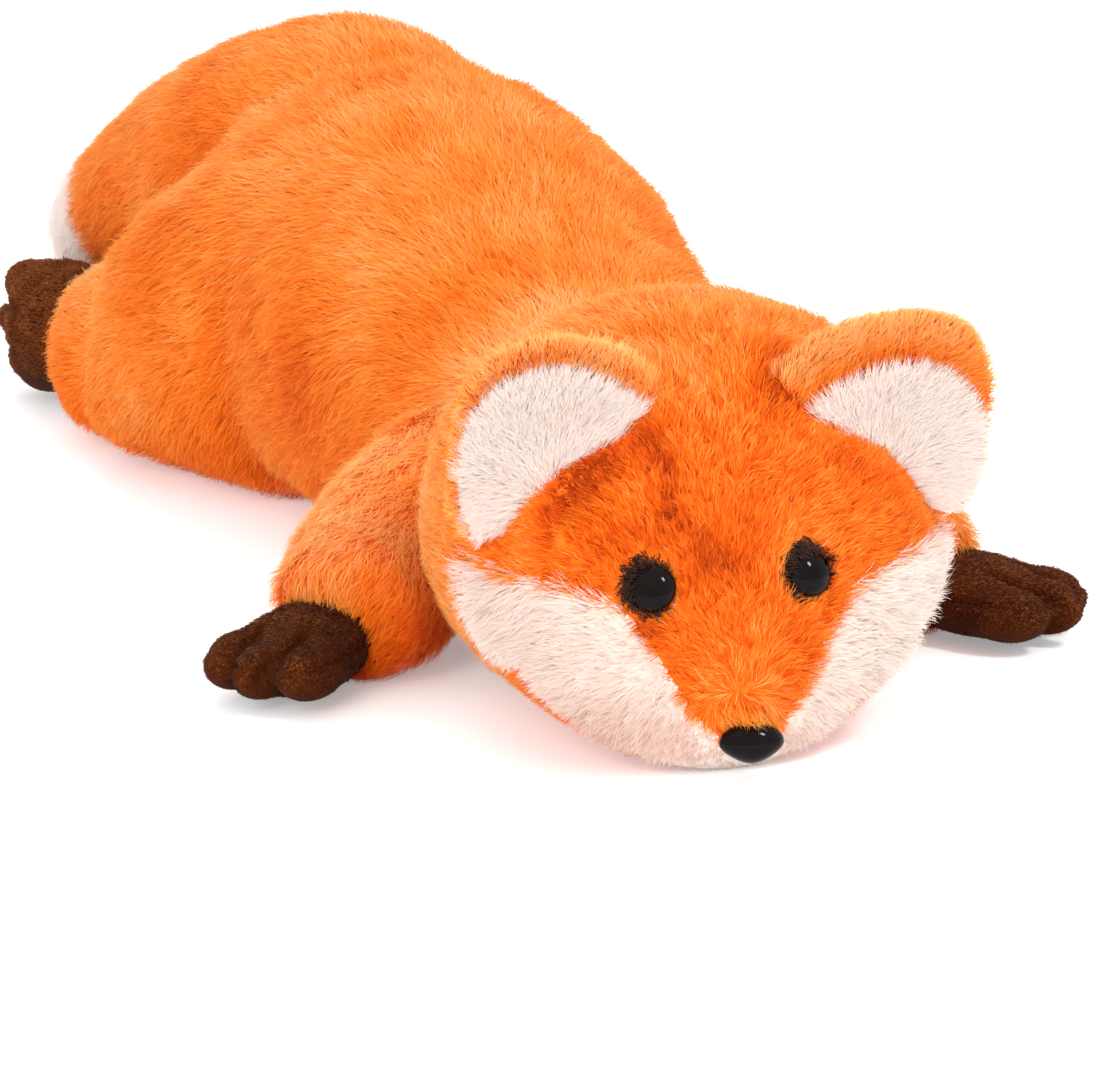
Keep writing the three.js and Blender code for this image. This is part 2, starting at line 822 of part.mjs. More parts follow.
function addLimb({ legName, pawName, legForm, pawForm, joint, radius, carriers, passed, toes, seamNormal }) {
  const parent = new THREE.Group();
  fox.add(parent);
  const limb = (solid) => limbOf(solid, joint.pivot, radius, carriers, passed);
  const cover = cutBy(limb(skin(legForm)), [lined(legForm, clothThickness), tableSolid]);
  addPiece(legName + "_cover", cover, materials.orange, parent);
  addPiece(legName + "_filling", limb(packed(legForm, clothThickness)), materials.fibre, parent);
  const halves = seamBlocks(pawForm, seamNormal);
  addPaw(pawName, pawForm, halves, toes, grown(legForm), [...carriers, ...passed], parent);
}

const sideways = (forward) => V(forward.y, -forward.x, 0);
for (const [word, side] of [["right", right], ["left", left]]) {
  const frontJoint = forelegJoint(side);
  const frontPaw = forepawForm(side);
  addLimb({
    legName: "foreleg_" + word,
    pawName: "forepaw_" + word,
    legForm: forelegForm(side),
    pawForm: frontPaw,
    joint: frontJoint,
    radius: shoulderBallRadius,
    carriers: travelled(torsoForm, [frontJoint]),
    passed: travelled(headForm, [reversed(headJoints[0])]),
    toes: toesOf(frontPaw, sideways),
    seamNormal: alongZ,
  });
  const hindJoint = hindlegJoint(side);
  const hindPaw = hindpawForm(side);
  addLimb({
    legName: "hindleg_" + word,
    pawName: "hindpaw_" + word,
    legForm: hindlegForm(side),
    pawForm: hindPaw,
    joint: hindJoint,
    radius: hipBallRadius,
    carriers: [torsoForm, haunchForm(side)].flatMap((form) => travelled(form, [hindJoint])),
    passed: travelled(tailForm, [reversed(tailJoints[0]), hindJoint]),
    toes: toesOf(hindPaw, () => alongZ),
    seamNormal: V(side, 0, 0),
  });
}

// Tail: an orange sleeve, a white tip sewn on across it, one filling, and the wad at its root

const tailGroup = new THREE.Group();
fox.add(tailGroup);
const tailNeighbours = torsoForms.flatMap((form) => travelled(form, tailJoints));
const tailLimb = (solid) => cutBy(solid, [...tailNeighbours, ball(tailCentre, tailBallRadius + ballGap)]);
addPiece("tail_root_filling", wad(tailCentre, tailBallRadius), materials.fibre, tailGroup);
const tailSpine = new THREE.CatmullRomCurve3(tailForm.sections.map((s) => s.centre), false, "catmullrom");
const tipSeam = tailSpine.getPoint(tipSeamShare);
const tipTurn = new THREE.Quaternion().setFromUnitVectors(alongY, tailSpine.getTangent(tipSeamShare));

// All of space on one side of the seam between the tail's sleeve and its tip.
function beyondSeam(sign) {
  const size = 2 * torsoLength;
  const block = new THREE.BoxGeometry(size, size, size).translate(0, sign * (size / 2 - seamGap / 2), 0);
  return solidOf(block.applyQuaternion(tipTurn).translate(tipSeam.x, tipSeam.y, tipSeam.z));
}

const tailShell = cutBy(tailLimb(skin(tailForm)), [lined(tailForm, clothThickness), tableSolid]);
addPiece("tail_cover", cutBy(tailShell, [beyondSeam(1)]), materials.orange, tailGroup);
addPiece("tail_tip", cutBy(tailShell, [beyondSeam(-1)]), materials.white, tailGroup);
addPiece("tail_filling", tailLimb(packed(tailForm, clothThickness)), materials.fibre, tailGroup);

export default fox;
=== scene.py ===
import math
from types import SimpleNamespace

import bpy
import numpy as np
from mathutils import Matrix, Vector
from mathutils.bvhtree import BVHTree
from mathutils.kdtree import KDTree


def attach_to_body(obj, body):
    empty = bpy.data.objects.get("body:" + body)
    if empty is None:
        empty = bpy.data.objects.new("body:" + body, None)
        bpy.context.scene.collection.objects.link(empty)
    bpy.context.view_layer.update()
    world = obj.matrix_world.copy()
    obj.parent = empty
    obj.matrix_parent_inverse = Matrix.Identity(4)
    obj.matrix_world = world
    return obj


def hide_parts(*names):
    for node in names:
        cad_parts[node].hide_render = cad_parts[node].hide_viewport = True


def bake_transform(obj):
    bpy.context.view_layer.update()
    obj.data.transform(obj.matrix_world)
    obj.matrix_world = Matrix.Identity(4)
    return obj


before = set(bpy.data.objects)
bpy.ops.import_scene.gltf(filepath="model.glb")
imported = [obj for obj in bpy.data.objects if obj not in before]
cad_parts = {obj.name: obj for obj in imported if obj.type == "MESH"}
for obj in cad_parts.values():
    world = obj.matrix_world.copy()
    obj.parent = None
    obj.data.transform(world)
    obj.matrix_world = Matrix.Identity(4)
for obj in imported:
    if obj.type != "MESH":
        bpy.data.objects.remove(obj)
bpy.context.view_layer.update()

# Lengths are written in millimetres and turned into metres when a mesh is made.
MM = 0.001
RIGHT, LEFT = -1, 1
SIDES = (("right", RIGHT), ("left", LEFT))
UP = np.array([0.0, 0.0, 1.0])

# The skin under the fur lies this far inside the solids, but near the floor it settles down on it.
BODY_DEPTH = 2.6
HEAD_DEPTH = 2.9
LEG_DEPTH = 2.4
PAW_DEPTH = 0.8
TAIL_DEPTH = 3.4
SETTLE_HEIGHT = 18
FLAT_DEPTH = 0.5

# Sizes of the body and the head
TORSO_LENGTH, TORSO_HALF_WIDTH, TORSO_HEIGHT, TORSO_LEAN, NECK_END = 258, 59, 110, 16, 136
HIP_LINE = -12
HEAD_BACK, HEAD_LENGTH, HEAD_HALF_WIDTH, HEAD_HEIGHT, HEAD_LEAN = 128, 118, 62, 101, 3
FACE_CENTRE = -HEAD_LEAN / 2

# Rows of shares: sideways, along and height of the centre, then half width, reach up and reach down.
TORSO_SHARES = [
    [0, 0, 0.355, 0.6, 0.29, 0.29],
    [0, 0.18, 0.343, 0.746, 0.343, 0.343],
    [0.06, 0.353, 0.393, 0.864, 0.393, 0.393],
    [0.31, 0.547, 0.466, 0.966, 0.466, 0.466],
    [0.63, 0.721, 0.502, 1, 0.502, 0.502],
    [0.88, 0.884, 0.489, 0.949, 0.489, 0.489],
    [1, 1, 0.431, 0.78, 0.373, 0.373],
]
HAUNCH_SHARES = [
    [0, 0, 0.473, 0.62, 0.425, 0.473],
    [0.19, 0.3, 0.473, 0.88, 0.53, 0.473],
    [0.69, 0.74, 0.388, 1, 0.468, 0.4],
    [1, 1, 0.324, 0.86, 0.34, 0.335],
]
HEAD_SHARES = [
    [0, 0, 0.431, 0.677, 0.342, 0.342],
    [0, 0.18, 0.473, 0.903, 0.473, 0.473],
    [0.2, 0.43, 0.502, 1, 0.502, 0.502],
    [1, 0.66, 0.458, 0.92, 0.458, 0.458],
    [1.4, 0.84, 0.344, 0.69, 0.344, 0.344],
    [1, 1, 0.124, 0.24, 0.11, 0.11],
]
FORELEG_SHARES = [
    [0, 0, 0, 0.9, 0.92, 0.92],
    [0.24, 0.2, 0.17, 0.98, 1, 1],
    [0.57, 0.5, 0.56, 0.96, 0.94, 1],
    [0.8, 0.79, 0.81, 0.9, 0.82, 0.81],
    [1, 1, 0.97, 0.8, 0.7, 0.69],
]
FOREPAW_SHARES = [
    [0, 0, 0, 0.76, 0.5, 0.72],
    [0.32, 0.33, 0.4, 0.92, 0.52, 0.72],
    [0.62, 0.64, 0.6, 0.98, 0.5, 0.67],
    [1, 1, 1, 0.72, 0.44, 0.56],
]
HINDLEG_SHARES = [
    [0, 0, 0, 0.9, 0.93, 1],
    [0.45, 0.41, 0.42, 1, 1, 1.06],
    [0.78, 0.68, 0.73, 0.94, 0.93, 0.94],
    [1, 1, 1, 0.68, 0.67, 0.83],
]
HINDPAW_SHARES = [
    [0, 0, 0, 0.93, 0.8, 0.8],
    [0.56, 0.53, 0.6, 1, 0.95, 1],
    [1, 1, 1, 0.86, 0.85, 1.05],
]
TAIL_SHARES = [
    [0, 0, 0, 0.67, 0.67, 0.72],
    [0.12, 0.123, -0.19, 0.77, 0.77, 0.82],
    [0.28, 0.292, -0.33, 0.97, 0.87, 0.97],
    [0.56, 0.481, -0.13, 0.98, 0.85, 0.92],
    [0.83, 0.67, 0.19, 0.87, 0.72, 0.82],
    [1.02, 0.84, 0.56, 0.71, 0.6, 0.77],
    [1.08, 1, 1, 0.41, 0.41, 0.39],
]


def form(origin, span, half, shares, domes, squareness, upright=True):
    """A stuffed form's cross-sections, its two dome shares and how square it is underneath."""
    rows = np.array(shares, float)
    return SimpleNamespace(centres=rows[:, :3] * span + origin, halves=rows[:, 3:] * half,
                           domes=domes, squareness=squareness, upright=upright)


TORSO_FORM = form(
    (0, -NECK_END, -FLAT_DEPTH), (-TORSO_LEAN, TORSO_LENGTH, TORSO_HEIGHT),
    (TORSO_HALF_WIDTH, TORSO_HEIGHT, TORSO_HEIGHT), TORSO_SHARES, (0.12, 0.2), 3.2,
)


def haunch_form(side):
    origin = (HIP_LINE + side * 28, 20, -FLAT_DEPTH)
    return form(origin, (side * 26, 92, 94), (37, 94, 94), HAUNCH_SHARES, (0.3, 0.3), 2.3)


HEAD_FORM = form(
    (0, -HEAD_BACK, -FLAT_DEPTH), (-HEAD_LEAN, -HEAD_LENGTH, HEAD_HEIGHT),
    (HEAD_HALF_WIDTH, HEAD_HEIGHT, HEAD_HEIGHT), HEAD_SHARES, (0.22, 0.12), 2.3,
)


def foreleg_form(side):
    origin = (side * 26, -79, 34 - FLAT_DEPTH)
    return form(origin, (side * 52, -58, -18), (24, 24, 24), FORELEG_SHARES, (0.1, 0.12), 2.3)


def forepaw_form(side):
    origin = (side * 73, -126, 15 - FLAT_DEPTH)
    return form(origin, (side * 27, -27, -5), (17, 17, 17), FOREPAW_SHARES, (0.15, 0.3), 2.4)


def hindleg_form(side):
    origin = (HIP_LINE + side * 36, 84, 33 - FLAT_DEPTH)
    return form(origin, (side * 30, 68, -10.5), (27, 27, 27), HINDLEG_SHARES, (0.1, 0.15), 2.5)


def hindpaw_form(side):
    origin = (HIP_LINE + side * 65, 148, 25 - FLAT_DEPTH)
    return form(origin, (side * 18, 38, -4), (14, 20, 20), HINDPAW_SHARES, (0.2, 0.35), 2.2)


TAIL_FORM = form((-4, 36, 66 - FLAT_DEPTH), (-50, 213, -52), (39, 39, 39), TAIL_SHARES, (0.08, 0.2), 2, False)


def unit(v):
    """Each row of v at length 1."""
    v = np.asarray(v)
    return v / np.maximum(np.linalg.norm(v, axis=-1, keepdims=True), 1e-9)


def held(value):
    """Values held between 0 and 1."""
    return np.clip(value, 0, 1)


def smooth_line(points, t):
    """A curve through points at shares t of its length, with a first and last step that run straight on."""
    line = np.vstack([2 * points[0] - points[1], points, 2 * points[-1] - points[-2]])
    place = held(t) * (len(points) - 1)
    i = np.minimum(place.astype(int), len(points) - 2)
    s = (place - i)[:, None]
    a, b, c, d = (line[i + k] for k in range(4))
    return 0.5 * (2 * b + (c - a) * s + (2 * a - 5 * b + 4 * c - d) * s**2 + (3 * b - a - 3 * c + d) * s**3)


def rounded(value, squareness):
    return np.sign(value) * np.abs(value) ** (2 / squareness)


def loft(shape, inset=0.0, sides=72, rings=56):
    """Points and triangles of a stuffed form, drawn in by inset on every side."""
    t = (1 - np.cos(np.pi * np.arange(rings + 1) / rings)) / 2
    step = 1e-4
    tangent = unit(smooth_line(shape.centres, t + step) - smooth_line(shape.centres, t - step))
    if shape.upright:
        tangent = unit(tangent * (1, 1, 0))
    across = unit(np.cross(tangent, UP))
    up = np.cross(across, tangent)
    centre = smooth_line(shape.centres, t) + tangent * (inset * (1 - 2 * t))[:, None]
    first, last = shape.domes
    dome = np.sqrt(held(1 - held((first - t) / first) ** 2))
    dome *= np.sqrt(held(1 - held((t - 1 + last) / last) ** 2))
    half = (smooth_line(shape.halves, t) - inset) * dome[:, None]
    angle = 2 * np.pi * np.arange(sides) / sides
    above = np.sin(angle) > 0
    square = np.where(above, 2.0, shape.squareness)
    reach = np.where(above, half[:, 1:2], half[:, 2:3]) * rounded(np.sin(angle), square)
    width = half[:, :1] * rounded(np.cos(angle), square)
    points = centre[:, None] + across[:, None] * width[..., None] + up[:, None] * reach[..., None]
    points = np.vstack([points[0, :1], points[1:-1].reshape(-1, 3), points[-1, :1]])
    k, nxt = np.arange(sides), (np.arange(sides) + 1) % sides
    faces = [np.stack([0 * k, 1 + k, 1 + nxt], 1)]
    for here in range(1, 1 + (rings - 2) * sides, sides):
        there = here + sides
        faces += [np.stack([here + k, there + k, here + nxt], 1), np.stack([here + nxt, there + k, there + nxt], 1)]
    end = 1 + (rings - 2) * sides
    faces.append(np.stack([end + k, 0 * k + len(points) - 1, end + nxt], 1))
    return points, np.vstack(faces)


def settled(mesh, depth):
    """A drawn-in form whose underside comes down to the floor again."""
    points, faces = mesh
    low = held((SETTLE_HEIGHT - points[:, 2]) / (SETTLE_HEIGHT - depth))
    points = points.copy()
    points[:, 2] -= (depth - 0.4) * low
    return points, faces


def ball(sides, rings):
    """Points and triangles of a ball of radius 1."""
    rows = [[0, -0.5, 0, 1, 1, 1], [0, 0.5, 0, 1, 1, 1]]
    return loft(form((0, 0, 0), (0, 2, 0), (1, 1, 1), rows, (0.5, 0.5), 2), 0, sides, rings)


def placed(name, data):
    """A new object in the scene."""
    obj = bpy.data.objects.new(name, data)
    bpy.context.scene.collection.objects.link(obj)
    return obj


def built(name, points, corners, starts, smooth=True):
    """A new object from points in millimetres, the faces' corners and where each face's corners start."""
    mesh = bpy.data.meshes.new(name)
    mesh.vertices.add(len(points))
    mesh.vertices.foreach_set("co", (points * MM).astype(np.float32).ravel())
    mesh.loops.add(len(corners))
    mesh.loops.foreach_set("vertex_index", corners.astype(np.int32))
    mesh.polygons.add(len(starts))
    mesh.polygons.foreach_set("loop_start", starts.astype(np.int32))
    mesh.polygons.foreach_set("use_smooth", np.full(len(starts), smooth))
    mesh.update(calc_edges=True)
    return placed(name, mesh)


def mesh_object(name, points, faces, smooth=True):
    return built(name, points, faces.ravel(), np.arange(0, faces.size, faces.shape[1]), smooth)


def read_mesh(obj):
    """Points in millimetres and triangles of an object as its modifiers leave it."""
    shown = obj.evaluated_get(bpy.context.evaluated_depsgraph_get())
    mesh = shown.to_mesh()
    mesh.calc_loop_triangles()
    points = np.zeros(len(mesh.vertices) * 3, np.float32)
    mesh.vertices.foreach_get("co", points)
    faces = np.zeros(len(mesh.loop_triangles) * 3, np.int32)
    mesh.loop_triangles.foreach_get("vertices", faces)
    shown.to_mesh_clear()
    return points.reshape(-1, 3).astype(float) / MM, faces.reshape(-1, 3).astype(int)


def joined(parts):
    """One set of points and triangles from several."""
    starts = np.cumsum([0] + [len(points) for points, _ in parts])
    return np.vstack([points for points, _ in parts]), np.vstack([f + start for (_, f), start in zip(parts, starts)])


def fused(parts, voxel, smoothing):
    """The parts grown together as one stuffed skin, with soft creases where they meet."""
    obj = mesh_object("fusing", *joined(parts))
    remesh = obj.modifiers.new("fuse", "REMESH")
    remesh.mode, remesh.voxel_size = "VOXEL", voxel * MM
    soften = obj.modifiers.new("soften", "SMOOTH")
    soften.factor, soften.iterations = 0.5, smoothing
    points, faces = read_mesh(obj)
    bpy.data.objects.remove(obj)
    return points, faces


def normals_of(points, faces):
    """The normal at each point."""
    a, b, c = (points[faces[:, k]] for k in range(3))
    face = np.cross(b - a, c - a)
    total = np.zeros_like(points)
    for k in range(3):
        np.add.at(total, faces[:, k], face)
    return unit(total)


def bulged(mesh, middle, amount, width):
    """A form that bulges level with the floor at one place."""
    points, faces = mesh
    push = amount * bump(apart(points, middle), width)
    return points + normals_of(points, faces) * (1, 1, 0) * push[:, None], faces


class Skin:
    """A closed skin: its points, triangles and normals, and whether a place lies inside it."""

    def __init__(self, points, faces):
        self.mesh = self.points, self.faces = points, faces
        self.normals = normals_of(points, faces)
        self.tree = BVHTree.FromPolygons(points.tolist(), faces.tolist())
        self.low, self.high = points.min(0), points.max(0)

    def depths(self, places):
        """How deep each place lies inside the skin, below 0 outside it."""
        depth = np.full(len(places), -1e3)
        near = np.all((places > self.low - 2) & (places < self.high + 2), axis=1)
        for i in np.flatnonzero(near):
            hit, normal, _, _ = self.tree.find_nearest(Vector(places[i]), 60)
            if hit is not None:
                away = Vector(places[i]) - hit
                depth[i] = -math.copysign(away.length, away.dot(normal))
        return depth

    def front(self, x, z):
        """The point of the skin seen from the front at x and z."""
        return np.array(self.tree.ray_cast(Vector((x, -400, z)), Vector((0, 1, 0)))[0])


def apart(places, point, scale=1):
    """How far each place lies from a point."""
    return np.linalg.norm((places - point) * scale, axis=1)


def bump(distance, width):
    """1 at distance 0, falling off smoothly over width."""
    return np.exp(-((distance / width) ** 2))


def wave(places, seed, size, count=5):
    """A smooth wandering value about 0 with features of the given size."""
    rng = np.random.default_rng(seed)
    value = np.zeros(len(places))
    for _ in range(count):
        direction = unit(rng.normal(size=3)) * (2 * np.pi / size) * rng.uniform(0.6, 1.4)
        value += np.sin(places @ direction + rng.uniform(0, 2 * np.pi))
    return value / math.sqrt(count)


# Materials

def material(name):
    mat = bpy.data.materials.new(name)
    mat.use_nodes = True
    mat.node_tree.nodes.clear()
    return mat, mat.node_tree


def node(tree, kind, inputs, **settings):
    """A new node. Each input is given a value, or the output that it is linked from."""
    made = tree.nodes.new("ShaderNode" + kind)
    for key, value in settings.items():
        setattr(made, key, value)
    for key, value in inputs.items():
        if isinstance(value, bpy.types.NodeSocket):
            tree.links.new(value, made.inputs[key])
        else:
            made.inputs[key].default_value = value
    return made


def ramp(tree, factor, stops):
    """A ramp's colour, from pairs of a position and a colour."""
    made = node(tree, "ValToRGB", {"Fac": factor})
    elements = made.color_ramp.elements
    while len(elements) < len(stops):
        elements.new(0.5)
    for element, (position, colour) in zip(elements, stops):
        element.position, element.color = position, colour
    return made.outputs["Color"]


def linear(red, green, blue):
    """A colour seen in the photograph, from its 0 to 255 values."""
    def one(v):
        v /= 255
        return v / 12.92 if v <= 0.04045 else ((v + 0.055) / 1.055) ** 2.4
    return (one(red), one(green), one(blue), 1)


def evenly(*colours):
    """A ramp's stops, spread evenly from 0 to 1."""
    return [(k / (len(colours) - 1), linear(*colour)) for k, colour in enumerate(colours)]


def fur_material(name, roots, tips, glow, roughness=0.7, gloss_level=0.2, sheen=0.06):
    """Strands: roots and tips give their colours by tone, which runs along U, and V runs from root to tip. The darker
    roots are painted shade.
    """
    mat, tree = material(name)
    place = node(tree, "UVMap", {}, uv_map="OFBake")
    parts = node(tree, "SeparateXYZ", {0: place.outputs["UV"]})
    along = node(tree, "MapRange", {"From Min": 0.1, "From Max": 0.85, "Value": parts.outputs["Y"]},
                 interpolation_type="SMOOTHSTEP")
    low, high = (ramp(tree, parts.outputs["X"], stops) for stops in (roots, tips))
    colour = node(tree, "Mix", {"Factor": along.outputs["Result"], "A": low, "B": high}, data_type="RGBA")
    gloss = node(tree, "BsdfPrincipled", {
        "Base Color": colour.outputs["Result"], "Roughness": roughness, "Specular IOR Level": gloss_level,
        "Sheen Weight": sheen, "Sheen Roughness": 0.5,
    })
    through = node(tree, "BsdfTranslucent", {"Color": colour.outputs["Result"]})
    mix = node(tree, "MixShader", {"Fac": glow, 1: gloss.outputs["BSDF"], 2: through.outputs["BSDF"]})
    node(tree, "OutputMaterial", {"Surface": mix.outputs["Shader"]})
    return mat


def noise(tree, scale, detail):
    """Noise over the object's own coordinates."""
    place = node(tree, "TexCoord", {}).outputs["Object"]
    return node(tree, "TexNoise", {"Vector": place, "Scale": scale, "Detail": detail}).outputs["Fac"]


def cloth_material(name, dark, light, size, depth, roughness=0.9, sheen=0.3):
    """Backing or short pile: mottled between two colours, with bump at the pile's own size in millimetres."""
    mat, tree = material(name)
    fine, broad = noise(tree, 1000 / size, 4), noise(tree, 1000 / size / 9, 3)
    both = node(tree, "Math", {0: fine, 1: broad}, operation="ADD")
    half = node(tree, "Math", {0: both.outputs[0], 1: 0.5}, operation="MULTIPLY")
    relief = node(tree, "Bump", {"Strength": 0.7, "Distance": depth * MM, "Height": fine})
    gloss = node(tree, "BsdfPrincipled", {
        "Base Color": ramp(tree, half.outputs[0], [(0.38, linear(*dark)), (0.62, linear(*light))]),
        "Normal": relief.outputs["Normal"], "Roughness": roughness, "Specular IOR Level": 0.1,
        "Sheen Weight": sheen, "Sheen Roughness": 0.5,
    })
    node(tree, "OutputMaterial", {"Surface": gloss.outputs["BSDF"]})
    return mat


def plastic_material(name, dark, light, roughness):
    """Moulded plastic with faint clouding and a roughness that varies a little."""
    mat, tree = material(name)
    cloud = noise(tree, 260, 5)
    rough = node(tree, "MapRange", {"Value": cloud, "To Min": roughness * 0.7, "To Max": roughness * 1.4})
    gloss = node(tree, "BsdfPrincipled", {
        "Base Color": ramp(tree, cloud, [(0.3, dark), (0.75, light)]), "Roughness": rough.outputs["Result"],
        "Specular IOR Level": 0.11,
    })
    node(tree, "OutputMaterial", {"Surface": gloss.outputs["BSDF"]})
    return mat


# Roots are darker than tips: painted shade deep in the pile, and the tips' paler colours are partly painted
# highlight.
ORANGE_ROOTS = evenly((136, 38, 2), (208, 80, 5), (242, 118, 14), (252, 150, 36), (255, 192, 104))
ORANGE_TIPS = evenly((190, 66, 4), (236, 106, 9), (255, 150, 30), (255, 182, 76), (255, 216, 150))
WHITE_ROOTS = evenly((224, 196, 181), (247, 230, 219), (252, 240, 232))
WHITE_TIPS = evenly((242, 218, 205), (252, 240, 232), (254, 249, 245))
BROWN_ROOTS = evenly((40, 13, 0), (68, 24, 1), (92, 38, 4))
BROWN_TIPS = evenly((60, 21, 0), (112, 52, 12), (160, 98, 54))
# The eye rims' near-black colours are partly dark fur and partly painted shade round the eyes.
RIM_ROOTS = evenly((18, 9, 6), (40, 20, 12))
RIM_TIPS = evenly((26, 14, 10), (70, 38, 24))

orange_fur = fur_material("orange_fur", ORANGE_ROOTS, ORANGE_TIPS, 0.5)
white_fur = fur_material("white_fur", WHITE_ROOTS, WHITE_TIPS, 0.5)
brown_fur = fur_material("brown_fur", BROWN_ROOTS, BROWN_TIPS, 0.15, 0.85, 0.06, 0.02)
rim_fur = fur_material("rim_fur", RIM_ROOTS, RIM_TIPS, 0.1, 0.5, 0.2, 0.02)
orange_backing = cloth_material("orange_backing", (226, 92, 12), (250, 128, 28), 1.4, 0.5)
white_backing = cloth_material("white_backing", (236, 222, 212), (250, 242, 236), 1.4, 0.5)
brown_pile = cloth_material("brown_pile", (44, 16, 2), (76, 32, 6), 1.1, 0.5, 0.9, 0.02)
black_plastic = plastic_material("black_plastic", (0.0015, 0.001, 0.001, 1), (0.006, 0.0035, 0.003, 1), 0.08)
washer_plastic = plastic_material("washer_plastic", linear(190, 190, 186), linear(226, 226, 222), 0.4)

# Each plush: its backing or short pile, its strands and its slot.
ORANGE = orange_backing, orange_fur, "orange_plush"
WHITE = white_backing, white_fur, "white_plush"
BROWN = brown_pile, brown_fur, "brown_plush"
RIM = None, rim_fur, "brown_plush"

# Fur

DENSITY = 1.0
STRAND_SHARES = np.array([0, 0.33, 0.67, 1])
STRAND_TAPER = np.array([1, 1, 0.72])
PIECE_STRANDS = 38000


def scatter(skin, spacing, seed, weight):
    """Places spread over a skin, one to each spacing squared, where weight (one value a point) allows."""
    rng = np.random.default_rng(seed)
    corners = skin.points[skin.faces]
    area = np.linalg.norm(np.cross(corners[:, 1] - corners[:, 0], corners[:, 2] - corners[:, 0]), axis=1) / 2
    area *= weight[skin.faces].mean(1)
    count = int(area.sum() / spacing**2)
    face = rng.choice(len(area), count, p=area / area.sum())
    share = rng.random((count, 2))
    over = share.sum(1) > 1
    share[over] = 1 - share[over]
    share = np.column_stack([1 - share.sum(1), share])[..., None]
    index = skin.faces[face]
    places = (skin.points[index] * share).sum(1)
    return places, unit((skin.normals[index] * share).sum(1)), rng


def turned(vectors, about, angle):
    """Vectors turned about unit axes that they stand square to."""
    return vectors * np.cos(angle)[:, None] + np.cross(about, vectors) * np.sin(angle)[:, None]


def strands_object(name, points, sides, normals, uvs):
    """A piece of fur from strand centre lines of four points, the last one the tip."""
    count = len(points)
    body = np.empty((count, 7, 3))
    body[:, :6:2] = points[:, :3] - sides
    body[:, 1:6:2] = points[:, :3] + sides
    body[:, 6] = points[:, 3]
    body[..., 2] = np.maximum(body[..., 2], 0.2)
    pattern = np.array([0, 1, 3, 2, 2, 3, 5, 4, 4, 5, 6])
    corners = (np.arange(count)[:, None] * 7 + pattern).ravel()
    starts = (np.arange(count)[:, None] * 11 + np.array([0, 4, 8])).ravel()
    obj = built(name, body.reshape(-1, 3), corners, starts)
    layer = obj.data.uv_layers.new(name="OFBake")
    layer.uv.foreach_set("vector", uvs[:, pattern].astype(np.float32).ravel())
    obj.data.normals_split_custom_set_from_vertices(normals.reshape(-1, 3).tolist())
    return obj


